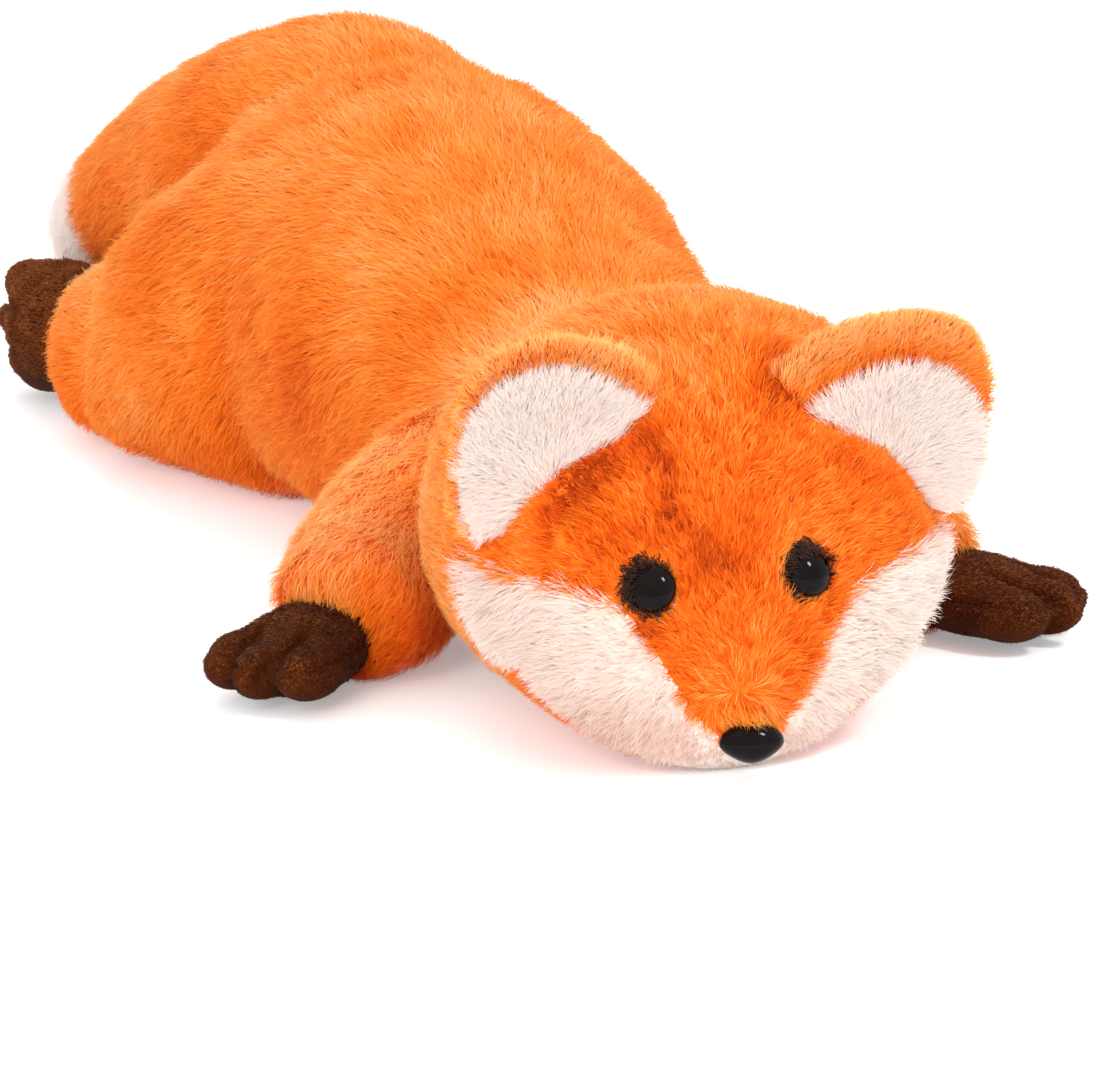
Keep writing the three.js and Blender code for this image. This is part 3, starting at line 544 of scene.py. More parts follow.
def grow(name, skin, plush, attach, seed, spacing, length, lift, flow, tone, weight,
         width=0.22, clump=2.6, pull=0.13, stray=0.3, grain=0.1, curve=0.018, tousle=0.09):
    """Fur on a skin. flow gives each root its direction from its place and normal, and so do length, lift and tone
    their values, or they are numbers. curve is 1 over the radius in millimetres of the form that the strands
    follow."""
    _, strands, slot = plush
    places, normals, rng = scatter(skin, spacing / math.sqrt(DENSITY), seed, weight)
    count = len(places)

    def given(value):
        return value(places, normals) if callable(value) else value

    along = flow(places, normals)
    along = unit(along - normals * (along * normals).sum(1)[:, None])
    sway = 0.24 * wave(places, seed + 1, 38) + 0.12 * wave(places, seed + 2, 14)
    along = turned(along, normals, sway)
    reach = given(length) * np.ones(count)
    rise = given(lift) * np.ones(count) * (1 + 0.1 * wave(places, seed + 3, 16))

    centre_index = rng.choice(count, max(1, int(count * spacing**2 / clump**2)), replace=False)
    tree = KDTree(len(centre_index))
    for i, c in enumerate(centre_index):
        tree.insert(places[c], i)
    tree.balance()
    clump_of = np.array([tree.find(p)[1] for p in places.tolist()])
    centres = len(centre_index)
    clump_turn = rng.normal(0, tousle, centres)[clump_of]
    clump_rise = rng.normal(1, 0.06, centres)[clump_of]
    clump_tone = rng.normal(0, 0.035, centres)[clump_of]
    clump_pull = np.clip(rng.normal(pull, 0.1, centres), 0, 0.8)[clump_of]

    along = turned(along, normals, clump_turn + rng.normal(0, stray, count))
    reach *= rng.uniform(0.78, 1.08, count)
    rise = np.clip(rise * clump_rise * rng.normal(1, 0.12, count), 0.12, 0.95)
    low = held(places[:, 2] / 22)
    reach *= 0.6 + 0.4 * low
    rise *= 0.5 + 0.5 * low
    forward = reach * np.sqrt(1 - rise**2)
    upward = reach * rise
    s = STRAND_SHARES[None, :, None]
    line = places[:, None] - normals[:, None] * 0.4
    line = line + normals[:, None] * upward[:, None, None] * (1 - (1 - s) ** 1.7)
    run = forward[:, None, None] * s**1.35
    line = line + along[:, None] * run - normals[:, None] * run**2 * curve / 2
    tips = line[:, 3]
    leader = centre_index[clump_of]
    gather = (tips[leader] - tips) * clump_pull[:, None]
    line += gather[:, None] * s**1.6
    line += rng.normal(0, 0.25, (count, 1, 3)) * s

    tangent = unit(np.gradient(line, axis=1))
    across = unit(np.cross(tangent, normals[:, None]))
    face = np.cross(across, tangent)
    roll = rng.uniform(-0.6, 0.6, count)[:, None, None]
    side = across * np.cos(roll) - face * np.sin(roll)
    flat = across * np.sin(roll) + face * np.cos(roll)
    sides = side[:, :3] * (width / 2 * STRAND_TAPER)[None, :, None] * rng.uniform(0.8, 1.2, count)[:, None, None]
    shade = unit(normals[:, None] * 0.95 + flat * 0.22)
    vertex_normals = shade[:, [0, 0, 1, 1, 2, 2, 3]]
    colour = np.clip(given(tone) + clump_tone + rng.normal(0, grain, count), 0.03, 0.97)
    uvs = np.empty((count, 7, 2))
    uvs[..., 0] = colour[:, None] + np.array([-1, 1, -1, 1, -1, 1, 0]) * 0.012
    uvs[..., 1] = np.array([0.03, 0.03, 0.33, 0.33, 0.67, 0.67, 0.97])

    order = np.argsort(places[:, 1])
    pieces = math.ceil(count / PIECE_STRANDS)
    for number, chosen in enumerate(np.array_split(order, pieces), 1):
        label = name if pieces == 1 else f"{name}_{number}"
        obj = strands_object(label, line[chosen], sides[chosen], vertex_normals[chosen], uvs[chosen])
        obj.data.materials.append(strands)
        attach(obj)


def dress(name, mesh, plush, attach, replaced):
    """A stuffed skin as a piece of its own, standing for the solids it replaces."""
    backing, _, slot = plush
    obj = mesh_object(name, *mesh)
    obj.data.materials.append(backing)
    attach(obj)
    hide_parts(*replaced)


def riding(body):
    return lambda obj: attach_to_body(obj, body)


def bending(start, end):
    start, end = (tuple(v * MM for v in p) for p in (start, end))
    return lambda obj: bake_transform(obj)


# Body: back, belly and haunches sewn as one skin, with a collar that runs on under the head.

COLLAR_SHARES = [
    [0, 0, 0.76, 0.76, 0.5, 0.6],
    [0, 0.5, 0.8, 0.8, 0.52, 0.64],
    [0, 1, 0.86, 0.76, 0.52, 0.66],
]
collar = form((0, -88, 0), (-2, -66, 50), (56, 56, 56), COLLAR_SHARES, (0.15, 0.3), 2.6)
torso_mesh = fused(
    [loft(TORSO_FORM, BODY_DEPTH), loft(collar, 0)] + [loft(haunch_form(side), BODY_DEPTH) for _, side in SIDES],
    2.4, 24,
)
for _, side in SIDES:
    torso_mesh = bulged(torso_mesh, (HIP_LINE + side * 76, 92, 8), 6.5, 16)
torso_skin = Skin(*settled(torso_mesh, BODY_DEPTH))

# Head: the solid drawn in, with fuller cheeks.

head_solid = Skin(*loft(HEAD_FORM, 0, 96, 80))
EYE_SPREAD, EYES_ASIDE, EYE_HEIGHT, EYE_RADIUS, EYE_DOME = 20.1, 2.2, 46.8, 6.0, 4.2
NOSE_X, NOSE_Z = -3, 11.5
eye_base = {
    word: head_solid.front(FACE_CENTRE - EYES_ASIDE + side * EYE_SPREAD, EYE_HEIGHT) for word, side in SIDES
}
eye_facing = {word: unit([side * 0.35, -0.8, 0.5]) for word, side in SIDES}
nose_base = head_solid.front(NOSE_X, NOSE_Z)
nose_facing = unit([-0.06, -1, 0.12])

EAR_WIDTH = 60


def ear_axes(side):
    across = unit([0.771, side * 0.125, -side * 0.625])
    up = unit([side * 0.624, -0.346, 0.7])
    up = unit(up - across * (up @ across))
    facing = np.cross(up, across)
    if facing[1] > 0:
        facing = -facing
    return across, up, facing


def ear_base(side):
    return np.array([FACE_CENTRE + side * 38.5, -211, 67])


def ear_inner_end(side):
    """Where the crown rises to an ear's inner end."""
    across, _, _ = ear_axes(side)
    return ear_base(side) - across * side * EAR_WIDTH * 0.52 + np.array([0, 7, 1])


head_points, head_faces = loft(HEAD_FORM, HEAD_DEPTH, 132, 110)


def shaped_head(points):
    """Full cheeks beside the muzzle, parted from it by a groove, a raised bridge above it, and a crown that
    rises to the ears' inner ends."""
    skin_normals = normals_of(points, head_faces)
    push = np.zeros(len(points))
    for word, side in SIDES:
        cheek = eye_base[word] + np.array([side * 11, 12, -26])
        push += 0.9 * bump(apart(points, cheek), 17)
        groove = np.array([FACE_CENTRE + side * 12, eye_base[word][1] - 6, 17])
        push -= 1.3 * bump(apart(points, groove), 9)
        push += 4.8 * bump(apart(points, ear_inner_end(side)), 9)
    brow = nose_base + np.array([1, 0, 7.5])
    push += 2.4 * bump(apart(points, brow, (0.8, 1, 1.3)), 6)
    bridge = np.array([FACE_CENTRE, nose_base[1] + 6, 33])
    push += 1.0 * bump(apart(points, bridge, (1.6, 1, 1)), 16)
    return points + skin_normals * push[:, None]


head_skin = Skin(*settled((shaped_head(head_points), head_faces), HEAD_DEPTH))

# The white cheeks' upper edge from the front, by distance from the face's centre, and their back edge.
CHEEK_REACH = [4, 7.6, 12.8, 17, 21.6, 29.3, 42.5, 57, 70]
CHEEK_TOP = [9, 10.8, 15.8, 23.6, 32.3, 41.2, 45.6, 46.6, 46.6]
CHEEK_BACK, THROAT_TOP = -200.5, 23


def cheek_share(places):
    """Above 0 in a white cheek, in millimetres from its edge."""
    off = np.abs(places[:, 0] - FACE_CENTRE)
    below = np.interp(off, CHEEK_REACH, CHEEK_TOP) - places[:, 2]
    ahead = CHEEK_BACK + 4 * held(1 - places[:, 2] / 50) - places[:, 1]
    throat = THROAT_TOP * held((places[:, 1] + 232) / 12)
    return np.minimum(np.minimum(below, ahead), places[:, 2] - throat)


# Legs, paws and tail

leg_skins, paw_skins = {}, {}
for word, side in SIDES:
    foreleg = bulged(loft(foreleg_form(side), LEG_DEPTH, 64, 60), (side * 61, -134, 4), 3.5, 14)
    hindleg = bulged(loft(hindleg_form(side), LEG_DEPTH, 64, 60), (HIP_LINE + side * 73, 112, 5), 8, 17)
    leg_skins["foreleg_" + word] = Skin(*settled(foreleg, LEG_DEPTH))
    leg_skins["hindleg_" + word] = Skin(*settled(hindleg, LEG_DEPTH))

TOE_SPACING, TOE_LENGTH, TOE_RADIUS = 10.5, 11, 8


def paw_parts(shape, stacked):
    """A paw's pad and its three toes, and the ways forward and across the toes."""
    centres = shape.centres
    forward = unit((smooth_line(centres, [1]) - smooth_line(centres, [0.999]))[0] * (1, 1, 0))
    spread = UP if stacked else np.array([forward[1], -forward[0], 0])
    parts = [loft(shape, PAW_DEPTH, 64, 48)]
    toe_points, toe_faces = ball(24, 16)
    halves = np.array([TOE_RADIUS, TOE_LENGTH * 1.16, TOE_RADIUS]) - PAW_DEPTH
    for place in (-1, 0, 1):
        reach = -TOE_RADIUS / 2 if place == 0 else -TOE_RADIUS
        at = centres[-1] + forward * reach + spread * place * TOE_SPACING
        at[2] = max(at[2], TOE_RADIUS - FLAT_DEPTH)
        axes = (np.cross(forward, UP), forward, UP)
        parts.append((at + (toe_points * halves) @ np.array(axes), toe_faces))
    return parts, forward, spread


def toe_creases(shape, stacked, places, width):
    """1 in the sewn creases between a paw's toes, falling off over width and towards the leg."""
    _, forward, spread = paw_parts(shape, stacked)
    end = shape.centres[-1]
    reach = (places - end) @ forward
    over = (places - end) @ spread
    if stacked:
        over = places[:, 2] - max(end[2], TOE_RADIUS - FLAT_DEPTH)
    gap = TOE_SPACING * 0.52 * (1 - 0.012 * reach)
    return held((reach + 19) / 9) * (bump(over + gap, width) + bump(over - gap, width))


def paw_skin(shape, stacked, outward):
    """The paw as one skin with two sewn creases between the toes and a groove at its edge seam."""
    points, faces = fused(paw_parts(shape, stacked)[0], 0.8, 40)
    seam = (points - shape.centres[1]) @ outward
    push = -2.4 * toe_creases(shape, stacked, points, 1.4) - 0.8 * bump(seam, 0.8)
    return points + normals_of(points, faces) * push[:, None], faces


def paw_tone(shape, stacked):
    """Darker in the creases, as painted shade, and paler on top, as painted light."""
    def tone(places, normals):
        return (0.56 + 0.1 * wave(places, 63, 9) + 0.16 * normals[:, 2]
                - 0.5 * toe_creases(shape, stacked, places, 1.7))
    return tone


for word, side in SIDES:
    paw_skins["forepaw_" + word] = Skin(*paw_skin(forepaw_form(side), False, UP))
    paw_skins["hindpaw_" + word] = Skin(*paw_skin(hindpaw_form(side), True, np.array([side, 0.0, 0.0])))

tail_skin = Skin(*settled(loft(TAIL_FORM, TAIL_DEPTH, 84, 110), TAIL_DEPTH))
TIP_SHARE = 0.77
tip_seam, past_seam = smooth_line(TAIL_FORM.centres, [TIP_SHARE, TIP_SHARE + 1e-3])
tip_way = unit(past_seam - tip_seam)

# Ears: a cupped back and a lining that lies in it.

EAR_HEIGHT, EAR_ROOT = 42, 9
EAR_SHARES = [[-0.45, 0], [-0.42, 0.29], [-0.26, 0.64], [-0.1, 0.88], [0.07, 1], [0.23, 1],
              [0.4, 0.86], [0.54, 0.6], [0.61, 0.32], [0.61, 0]]
LINING_SHARES = {
    RIGHT: [[-0.38, 0], [-0.36, 0.2], [-0.24, 0.5], [-0.07, 0.71], [0.09, 0.76], [0.25, 0.67], [0.37, 0.45],
            [0.45, 0]],
    LEFT: [[-0.44, 0], [-0.43, 0.21], [-0.32, 0.47], [-0.13, 0.63], [0.03, 0.66], [0.17, 0.56], [0.27, 0.36],
           [0.34, 0]],
}


def ear_outline(side, shares, root):
    """A closed outline in the ear's plane, from its outer corner round the top and back along the foot."""
    rim = smooth_line(np.array(shares, float) * (-side * EAR_WIDTH, EAR_HEIGHT), np.linspace(0, 1, 72))
    foot = np.linspace(rim[-1], rim[0], 24)[1:-1]
    foot[:, 1] -= root * np.sin(np.linspace(0, np.pi, 24)[1:-1])
    return np.vstack([rim, foot])


def lining_outline(side):
    return ear_outline(side, LINING_SHARES[side], EAR_ROOT * 0.6)


def ear_flat(side, places):
    """Places in the ear's plane: across and up."""
    return (places - ear_base(side)) @ np.array(ear_axes(side)[:2]).T


def outside(places, outline):
    """How far each place in a plane lies outside a closed outline, below 0 inside it."""
    a, b = outline, np.roll(outline, -1, axis=0)
    to, way = places[:, None] - a[None], (b - a)[None]
    share = held((to * way).sum(2) / (way**2).sum(2))
    distance = np.linalg.norm(to - way * share[..., None], axis=2).min(1)
    x, y = places[:, :1], places[:, 1:2]
    crosses = (a[:, 1] > y) != (b[:, 1] > y)
    slope = (b[:, 0] - a[:, 0]) / np.where(b[:, 1] == a[:, 1], 1e-9, b[:, 1] - a[:, 1])
    inside = (crosses & (x < a[:, 0] + (y - a[:, 1]) * slope)).sum(1) % 2 == 1
    return np.where(inside, -distance, distance)


def ear_sheet(side, shares, grow_by, front, back, cup, root=0.0, roll=0.0):
    """One closed, curved layer of an ear: its outline, how far it stands before and behind the ear's plane,
    and how far a soft roll round the lining stands up in front."""
    across, up, facing = ear_axes(side)
    base = ear_base(side)
    rim = ear_outline(side, shares, root)
    lining_rim = lining_outline(side)
    middle = np.array([rim[:, 0].mean(), rim[:, 1].mean() * 0.8])
    rim = middle + (rim - middle) * (1 + grow_by / np.linalg.norm(rim - middle, axis=1, keepdims=True))
    rings = 22
    around = len(rim)
    points, faces = [], []
    for sheet, sign in ((front, 1), (back, -1)):
        for k in range(rings + 1):
            share = k / rings
            flat = middle + (rim - middle) * share
            depth = sheet * math.sqrt(1 - share**6) * sign
            if sign > 0 and roll:
                off = held((outside(flat, lining_rim) + 1) / 4)[:, None]
                depth = depth + roll * off * off * (3 - 2 * off) * math.sqrt(1 - share**8)
            hollow = cup * (share**2 - 1)
            points.append(base + flat[:, :1] * across + flat[:, 1:] * up + facing * (depth + hollow))
    points = np.vstack(points)
    j, nxt = np.arange(around), (np.arange(around) + 1) % around
    for start, order in ((0, 1), ((rings + 1) * around, -1)):
        for here in range(start, start + rings * around, around):
            there = here + around
            one = [np.stack([here + j, there + j, there + nxt], 1), np.stack([here + j, there + nxt, here + nxt], 1)]
            faces += [f[:, ::order] for f in one]
    return points, np.vstack(faces)


def outward(points, faces):
    """The same mesh with its faces turned to point outwards."""
    a, b, c = (points[faces[:, k]] for k in range(3))
    volume = (a * np.cross(b, c)).sum()
    return points, faces if volume > 0 else faces[:, ::-1]


ear_backs, ear_linings = {}, {}
for word, side in SIDES:
    ear_backs[word] = Skin(*outward(*ear_sheet(side, EAR_SHARES, -4.4, -0.6, 3.2, 2.0, EAR_ROOT, 1.0)))
    ear_linings[word] = Skin(*outward(*ear_sheet(side, LINING_SHARES[side], 0.0, 1.1, 0.2, 2.0, EAR_ROOT * 0.6)))


def buried(skin, others):
    """How deep each point of a skin lies in the others."""
    depth = np.full(len(skin.points), -1e3)
    for other in others:
        depth = np.maximum(depth, other.depths(skin.points))
    return depth


def open_weight(skin, others, limit=9.0, floor_share=0.15):
    """How thickly fur is planted at each point: not at all deep in the others, and thinly underneath."""
    weight = (buried(skin, others) < limit).astype(float)
    under = (skin.normals[:, 2] < -0.55) & (skin.points[:, 2] < 9)
    return np.where(under, weight * floor_share, weight)


# Directions in which the fur lies

def body_flow(places, normals):
    side = np.clip((places[:, 0] - HIP_LINE * held(places[:, 1] / 60)) / 55, -1, 1)
    return np.column_stack([side * 0.35, np.ones(len(places)), -0.75 * np.abs(side) ** 1.5 - 0.15])


def way_flow(shape):
    """Fur that lies along a limb, from its root to its end."""
    t = np.linspace(0, 1, 60)
    centres = smooth_line(shape.centres, t)
    ways = unit(np.gradient(centres, axis=0))

    def flow(places, normals):
        near = np.linalg.norm(places[:, None] - centres[None], axis=2).argmin(1)
        return ways[near] + np.array([0, 0, -0.2])
    return flow


def face_flow(places, normals):
    """Away from the nose: up the bridge, over the forehead and out over the cheeks."""
    away = unit(places - (nose_base + np.array([0, -6, 2])))
    off = (places[:, 0] - FACE_CENTRE) / 30
    flow = away + off[:, None] * (0.5, 0, 0) + (0, 0.25, -0.1)
    white = cheek_share(places) > 0
    flow[white] += np.array([0, 0.25, -0.75])
    near = apart(places, nose_base)
    over = (held((12.5 - near) / 4) * held((places[:, 2] - NOSE_Z) / 3))[:, None]
    return unit(flow) * (1 - over) + np.array([0.15, -0.5, -1.0]) * over


def neck_share(places):
    return held((-70 - places[:, 1]) / 40)


# The rise with the normal's height is painted light: paler where the fur faces up. This also reaches the torso and
# tail.
def body_tone(places, normals):
    return (0.57 + 0.08 * wave(places, 71, 60) + 0.05 * wave(places, 72, 24) + 0.17 * held(normals[:, 2])
            + 0.12 * neck_share(places))


def leg_tone(shape):
    """Deeper at the cuff, where a leg's pile ends over its paw, and most of all low down, as painted shade there;
    paler on top as painted light.
    """
    centres = shape.centres
    way = unit(centres[-1] - centres[-2])

    def tone(places, normals):
        before = (centres[-1] - places) @ way - 2
        low = held(1 - places[:, 2] / 20)
        # Low down the deeper tone is painted shade, and the paler tone where the fur faces up is painted light.
        cuff = 0.15 * held(1 - before / 12) + 0.4 * low * held(1 - before / 30)
        return body_tone(places, normals) + 0.14 * held(normals[:, 2]) - cuff
    return tone


def torso_tone(places, normals):
    """Paler towards the neck."""
    return body_tone(places, normals) + 0.25 * neck_share(places)


# Body

TORSO_BEND = bending((0, -85, 40), (0, -128, 40))
HEAD_BEND = bending((0, -128, 41), (0, -168, 41))
dress("torso_skin", torso_skin.mesh, ORANGE, TORSO_BEND,
      ["torso_cover", "torso_filling", "neck_filling"])
limb_skins = list(leg_skins.values())
grow("torso_fur", torso_skin, ORANGE, TORSO_BEND, 11, 0.62, 11, 0.47,
     body_flow, torso_tone, open_weight(torso_skin, [head_skin, tail_skin] + limb_skins))

# Head

white_face = cheek_share(head_skin.points) > 0


def part_of(skin, faces_kept):
    """The points and triangles of the faces that are kept."""
    used, index = np.unique(skin.faces[faces_kept], return_inverse=True)
    return skin.points[used], index.reshape(-1, 3)


face_white = white_face[head_skin.faces].sum(1) >= 2
middle_x = head_skin.points[head_skin.faces].mean(1)[:, 0] - FACE_CENTRE
dress("head_skin", part_of(head_skin, ~face_white), ORANGE, HEAD_BEND,
      ["head_cover", "head_filling"])
for word, side in SIDES:
    dress(f"cheek_{word}_skin", part_of(head_skin, face_white & (np.sign(middle_x + 1e-6) == side)),
          WHITE, riding("head"), [f"cheek_{word}"])


def eye_near(places):
    return np.minimum(*(apart(places, eye_base[word]) for word, _ in SIDES))


def nose_near(places):
    return apart(places, nose_base, (1, 1, 1.3))


head_open = open_weight(head_skin, [torso_skin] + [ear_backs[w] for w, _ in SIDES], 8.0, 0.3)
head_open *= (eye_near(head_skin.points) > EYE_RADIUS - 1) & (nose_near(head_skin.points) > 5)


def ear_foot_near(places):
    """How far each place lies from the line where an ear's lining meets the head."""
    nearest = np.full(len(places), 1e3)
    for _, side in SIDES:
        across, _, facing = ear_axes(side)
        start = ear_base(side) + facing * 2
        along = np.clip((places - start) @ across, *sorted((side * 0.45 * EAR_WIDTH, -side * 0.3 * EAR_WIDTH)))
        nearest = np.minimum(nearest, np.linalg.norm(places - start - along[:, None] * across, axis=1))
    return nearest


def over_nose(places):
    """1 where the fur hangs over the nose's top, falling to 0 around it."""
    return bump(apart(places - nose_base, (1, 1, 6), (0.8, 1, 1)), 4.5)


def head_length(places, normals):
    cheek = cheek_share(places)
    length = 5.6 + 5.5 * held((places[:, 1] + 215) / 45)
    length = np.where(cheek > 0, 6.5 + 4.0 * held((places[:, 1] + 240) / 30), length)
    hem = (cheek > 0) & (places[:, 2] < 34)
    length = np.where(hem, length * (0.5 + 0.5 * held(cheek / 8)), length)
    length = np.where(eye_near(places) < 13, np.minimum(length, 5.0), length)
    length *= 0.84 + 0.16 * held((nose_near(places) - 8) / 16)
    length *= 0.5 + 0.5 * held((ear_foot_near(places) - 3) / 7)
    for _, side in SIDES:
        length += 2 * bump(apart(places, ear_inner_end(side)), 9)
    return length + 4.2 * over_nose(places)


def head_lift(places, normals):
    back = held((places[:, 1] + 215) / 45)
    return 0.58 - 0.16 * back + 0.26 * over_nose(places)


# Places where the face's fur is a deeper red: where they are, how far they spread and how deep they are.
FACE_MARKS = [
    ((-24, -217, 77), 5, 0.12), ((-31, -219, 71.5), 6, 0.27), ((-37, -220, 67), 6, 0.3), ((-43, -220, 61), 5, 0.2),
    ((-18, -220, 77), 4.5, 0.22), ((-17, -225, 70), 4, 0.28), ((-17, -230, 63), 4, 0.25), ((-16, -232, 57), 4, 0.14),
    ((14, -204, 92), 6, 0.1), ((13, -213, 86), 6, 0.14), ((15, -218, 82), 6, 0.1),
    ((28, -222, 71), 5, 0.22), ((35, -223, 65.5), 5, 0.22), ((41, -223, 60), 5, 0.14), ((27, -208, 87), 5, 0.08),
    ((-3, -236, 50), 7, 0.14), ((-11, -237, 49), 5, 0.1), ((-27, -229, 53), 6, 0.1), ((-37, -222, 56), 7, 0.1),
    ((-25.5, -239, 37), 6, 0.16), ((-14, -238, 43), 4, 0.1),
]


def head_tone(places, normals):
    back = held((places[:, 1] + 228) / 40)
    bridge = bump(apart(places, (-1, -245, 25)), 12)
    tone = 0.51 + 0.27 * back + 0.16 * bridge + 0.06 * wave(places, 81, 30) + 0.05 * wave(places, 82, 12)
    for spot, spread, depth in FACE_MARKS:
        tone -= 2.3 * depth * bump(apart(places, spot), spread)
    return tone


head_weight = head_open * np.where(white_face, 0, 1) * (eye_near(head_skin.points) > 7.4)
grow("head_fur", head_skin, ORANGE, HEAD_BEND, 21, 0.52, head_length, head_lift,
     face_flow, head_tone, head_weight, width=0.2, clump=2.4, pull=0.24, grain=0.14, curve=0.026, tousle=0.32)


# Painted light and shade: paler towards the fox's left cheek, where the light falls, and darker low down.
def cheek_tone(places, normals):
    bright = np.clip((places[:, 0] - FACE_CENTRE) / 20, -1, 1)
    low = held((24 - places[:, 2]) / 24)
    return 0.6 + 0.14 * bright + 0.08 * wave(places, 91, 22) - 0.6 * low * (1 - 0.4 * bright)


for word, side in SIDES:
    weight = head_open * white_face * (np.sign(head_skin.points[:, 0] - FACE_CENTRE) == side)
    grow(f"cheek_{word}_fur", head_skin, WHITE, riding("head"), 31 + side, 0.52, head_length,
         head_lift, face_flow, cheek_tone, weight, width=0.2, clump=2.4, curve=0.026, tousle=0.18)
    # The dark strands round each eye are partly dark fur and partly painted shade of the fur round the eye.
    rim_weight = (apart(head_skin.points, eye_base[word]) < 7.6) * head_open

    def rim_flow(places, normals, base=eye_base[word]):
        return base - places
    grow(f"eye_{word}_rim_fur", head_skin, RIM, riding("head"), 41 + side, 0.33, 4.9,
         0.8, rim_flow, 0.5, rim_weight, width=0.24, clump=1.5, curve=0)

# Eyes and nose


def dome_piece(name, base, facing, halves, square, replaced, sunk):
    """A domed button whose back half is sunk in the cloth."""
    right = unit(np.cross(facing, UP))
    above = np.cross(right, facing)
    points, faces = ball(64, 48)
    shape = points * halves
    shape[:, 0] *= 1 - square * held(-points[:, 2]) ** 1.5
    placed = base + facing * -sunk + shape @ np.array([right, facing, above])
    obj = mesh_object(name, *outward(placed, faces))
    obj.data.materials.append(black_plastic)
    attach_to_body(obj, "head")
    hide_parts(replaced)


for word, side in SIDES:
    dome_piece(f"eye_{word}_dome", eye_base[word], eye_facing[word], (EYE_RADIUS, EYE_DOME, EYE_RADIUS), 0,
               f"eye_{word}", 2.4)
dome_piece("nose_button", nose_base + np.array([1, 0, -1.9]), nose_facing, (7.7, 4.8, 4.9), 0.35, "nose", 1.4)

# Ears

for word, side in SIDES:
    across, up, facing = ear_axes(side)
    backs, lining = ear_backs[word], ear_linings[word]
    dress(f"ear_{word}_back_skin", backs.mesh, ORANGE, riding(f"ear_{word}"), [f"ear_{word}_back"])
    dress(f"ear_{word}_lining_skin", lining.mesh, WHITE, riding(f"ear_{word}"), [f"ear_{word}_lining"])

    def ear_flow(places, normals, up=up, middle=ear_base(side) + up * 12 + across * side * 6):
        return up + (places - middle) / 18

    def ear_length(places, normals, out=across * side, base=ear_base(side)):
        return 6.6 - 3.2 * held(((places - base) @ out - 10) / 9)

    def rim_tone(places, normals, side=side):
        """Deeper beside the lining and paler at the ear's edge."""
        off = held(outside(ear_flat(side, places), lining_outline(side)) / 10)
        return 0.68 - 0.1 * side + 0.36 * off + 0.05 * wave(places, 61, 25)

    def rim_way(places, normals, up=up, facing=facing, middle=ear_base(side) + up * 14):
        """Outwards from the lining's middle on the ear's front, and up its back."""
        ahead = (normals @ facing > -0.2)[:, None]
        return np.where(ahead, (places - middle) / 50 + up, up + (places - middle) / 120)
    back_weight = open_weight(backs, [head_skin, lining], 5.0, 1.0)
    covered = outside(ear_flat(side, backs.points), lining_outline(side)) < -0.5
    front = (backs.normals @ facing > 0.2) & covered
    grow(f"ear_{word}_back_fur", backs, ORANGE, riding(f"ear_{word}"), 51 + side, 0.42,
         6.4, 0.4, rim_way, rim_tone, back_weight * ~front, width=0.22)
    lining_weight = open_weight(lining, [head_skin], 3.0, 1.0) * (lining.normals @ facing > 0.5)
    lining_weight *= (outside(ear_flat(side, lining.points), lining_outline(side)) < -0.8)
    grow(f"ear_{word}_lining_fur", lining, WHITE, riding(f"ear_{word}"), 55 + side, 0.36,
         ear_length, 0.4, ear_flow, lambda p, n: 0.94 + 0.04 * wave(p, 62, 18),
         lining_weight, width=0.23, clump=2.2)

# Legs and paws

for word, side in SIDES:
    for limb, shape, paw, paw_shape in (
        ("foreleg", foreleg_form(side), "forepaw", forepaw_form(side)),
        ("hindleg", hindleg_form(side), "hindpaw", hindpaw_form(side)),
    ):
        body = f"{limb}_{word}"
        skin, foot = leg_skins[body], paw_skins[f"{paw}_{word}"]
        others = [torso_skin, foot] + ([head_skin] if limb == "foreleg" else [tail_skin])
        dress(body + "_skin", skin.mesh, ORANGE, riding(body), [body + "_cover", body + "_filling"])
        grow(body + "_fur", skin, ORANGE, riding(body), 101 + side, 0.62, 9.5,
             0.48, way_flow(shape), leg_tone(shape), open_weight(skin, others, 9), curve=0.03)
        away = UP if limb == "foreleg" else np.array([side, 0.0, 0.0])
        above = ((foot.points[foot.faces].mean(1) - paw_shape.centres[1]) @ away) > 0
        dress(f"{paw}_{word}_upper_skin", part_of(foot, above), BROWN, riding(body),
              [f"{paw}_{word}_upper", f"{paw}_{word}_filling"])
        dress(f"{paw}_{word}_sole_skin", part_of(foot, ~above), BROWN, riding(body),
              [f"{paw}_{word}_sole"])
        grow(f"{paw}_{word}_pile", foot, BROWN, riding(body), 121 + side, 0.37, 1.5,
             0.62, way_flow(paw_shape), paw_tone(paw_shape, limb == "hindleg"),
             open_weight(foot, [skin], 2.0, 0.5), width=0.2, clump=1.3, pull=0.3, grain=0.16, curve=0.05)

# Tail

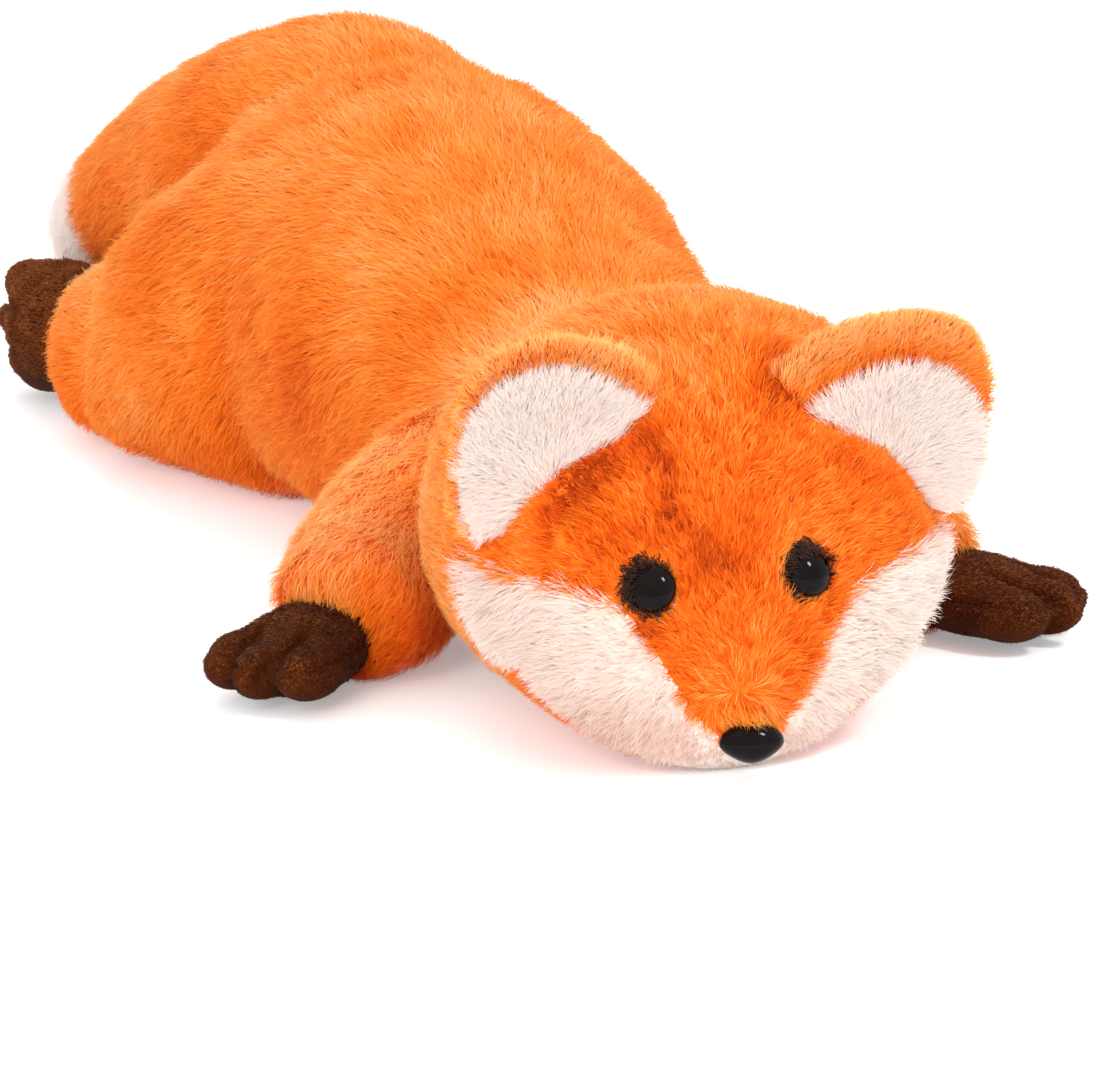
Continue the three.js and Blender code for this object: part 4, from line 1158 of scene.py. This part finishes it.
past_tip = (tail_skin.points - tip_seam) @ tip_way > 0
tip_faces = past_tip[tail_skin.faces].sum(1) >= 2
TAIL_BEND = bending((-10, 70, 75), (-20, 110, 70))
dress("tail_skin", part_of(tail_skin, ~tip_faces), ORANGE, TAIL_BEND,
      ["tail_cover", "tail_filling", "tail_root_filling"])
dress("tail_tip_skin", part_of(tail_skin, tip_faces), WHITE, riding("tail"), ["tail_tip"])
white_tail = (tail_skin.points - tip_seam) @ tip_way > -12
tail_open = open_weight(tail_skin, [torso_skin] + limb_skins, 9)
tail_flow = way_flow(TAIL_FORM)
grow("tail_fur", tail_skin, ORANGE, TAIL_BEND, 131, 0.64, 11.5, 0.42,
     tail_flow, body_tone, tail_open * ~white_tail, curve=0.022)
grow("tail_tip_fur", tail_skin, WHITE, riding("tail"), 141, 0.62, 12, 0.42,
     tail_flow, lambda p, n: 0.85 + 0.06 * wave(p, 64, 22), tail_open * white_tail, curve=0.03)

# Washers behind the eyes and nose

for name in ("eye_right_washer", "eye_left_washer", "nose_washer"):
    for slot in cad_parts[name].material_slots:
        slot.material = washer_plastic

# Camera: the photograph's angle, aimed through the middle of its frame.

FRAME_WIDTH, FRAME_HEIGHT = 1095, 1080
SENSOR_WIDTH = 36
FOCAL_PIXELS, PRINCIPAL = 8175, (560, 400)
CAMERA_PLACE = np.array([-476.451, -2004.256, 541.385])
CAMERA_TARGET = np.array([-5.037, -75.468, 51.747])
CAMERA_ROLL = -0.01596

ahead = unit(CAMERA_TARGET - CAMERA_PLACE)
level = unit(np.cross(ahead, UP))
over = np.cross(level, ahead)
right = math.cos(CAMERA_ROLL) * level + math.sin(CAMERA_ROLL) * over
over = -math.sin(CAMERA_ROLL) * level + math.cos(CAMERA_ROLL) * over
aim = unit(ahead * FOCAL_PIXELS + right * (FRAME_WIDTH / 2 - PRINCIPAL[0]) - over * (FRAME_HEIGHT / 2 - PRINCIPAL[1]))
right = unit(right - aim * (right @ aim))
over = np.cross(right, aim)
camera = placed("camera", bpy.data.cameras.new("camera"))
camera.data.sensor_fit = "HORIZONTAL"
camera.data.sensor_width = SENSOR_WIDTH
camera.data.lens = FOCAL_PIXELS / FRAME_WIDTH * SENSOR_WIDTH
camera.data.clip_end = 100
turn = Matrix(np.column_stack([right, over, -aim]).tolist())
camera.matrix_world = Matrix.Translation(CAMERA_PLACE * MM) @ turn.to_4x4()
bpy.context.scene.camera = camera

# Floor, backdrop and light

FLOOR_REACH = 6000
FLOOR_GLOW = 0.3
WORLD_STRENGTH = 1.08

floor = mesh_object("floor", np.array([(-1, -1, 0), (1, -1, 0), (1, 1, 0), (-1, 1, 0)]) * FLOOR_REACH,
                    np.array([[0, 1, 2, 3]]), False)
floor_mat, tree = material("pale_floor")
path = node(tree, "LightPath", {})
seen = path.outputs["Is Camera Ray"]
for ray in ("Is Glossy Ray", "Is Transmission Ray"):
    seen = node(tree, "Math", {0: seen, 1: path.outputs[ray]}, operation="MAXIMUM").outputs[0]
strength = node(tree, "Math", {0: seen, 1: FLOOR_GLOW}, operation="MULTIPLY")
matt = node(tree, "BsdfPrincipled", {
    "Base Color": (0.86, 0.86, 0.86, 1), "Roughness": 0.9, "Specular IOR Level": 0.0,
})
bright = node(tree, "Emission", {"Color": (1, 1, 1, 1), "Strength": strength.outputs[0]})
both = node(tree, "AddShader", {0: matt.outputs["BSDF"], 1: bright.outputs["Emission"]})
node(tree, "OutputMaterial", {"Surface": both.outputs["Shader"]})
floor.data.materials.append(floor_mat)

world = bpy.data.worlds.new("studio")
bpy.context.scene.world = world
world.use_nodes = True
background = world.node_tree.nodes["Background"]
background.inputs["Color"].default_value = (1, 1, 1, 1)
background.inputs["Strength"].default_value = WORLD_STRENGTH


def lamp(name, place, size, watts, mirrored):
    """A soft lamp, higher than wide, that points at the fox and may show in its eyes."""
    data = bpy.data.lights.new(name, "AREA")
    data.shape, data.size, data.size_y, data.energy = "RECTANGLE", size, size * 1.6, watts
    obj = placed(name, data)
    obj.location = place
    obj.visible_glossy = mirrored
    obj.rotation_euler = (Vector((0, 0, 0.05)) - obj.location).to_track_quat("-Z", "Y").to_euler()


lamp("key", (0.9, -1.1, 1.6), 0.26, 20, True)
lamp("fill", (-1.3, -1.6, 0.7), 1.0, 24, False)
lamp("back", (-0.2, 1.5, 1.3), 0.8, 8, False)

scene = bpy.context.scene
scene.view_settings.view_transform = "Standard"
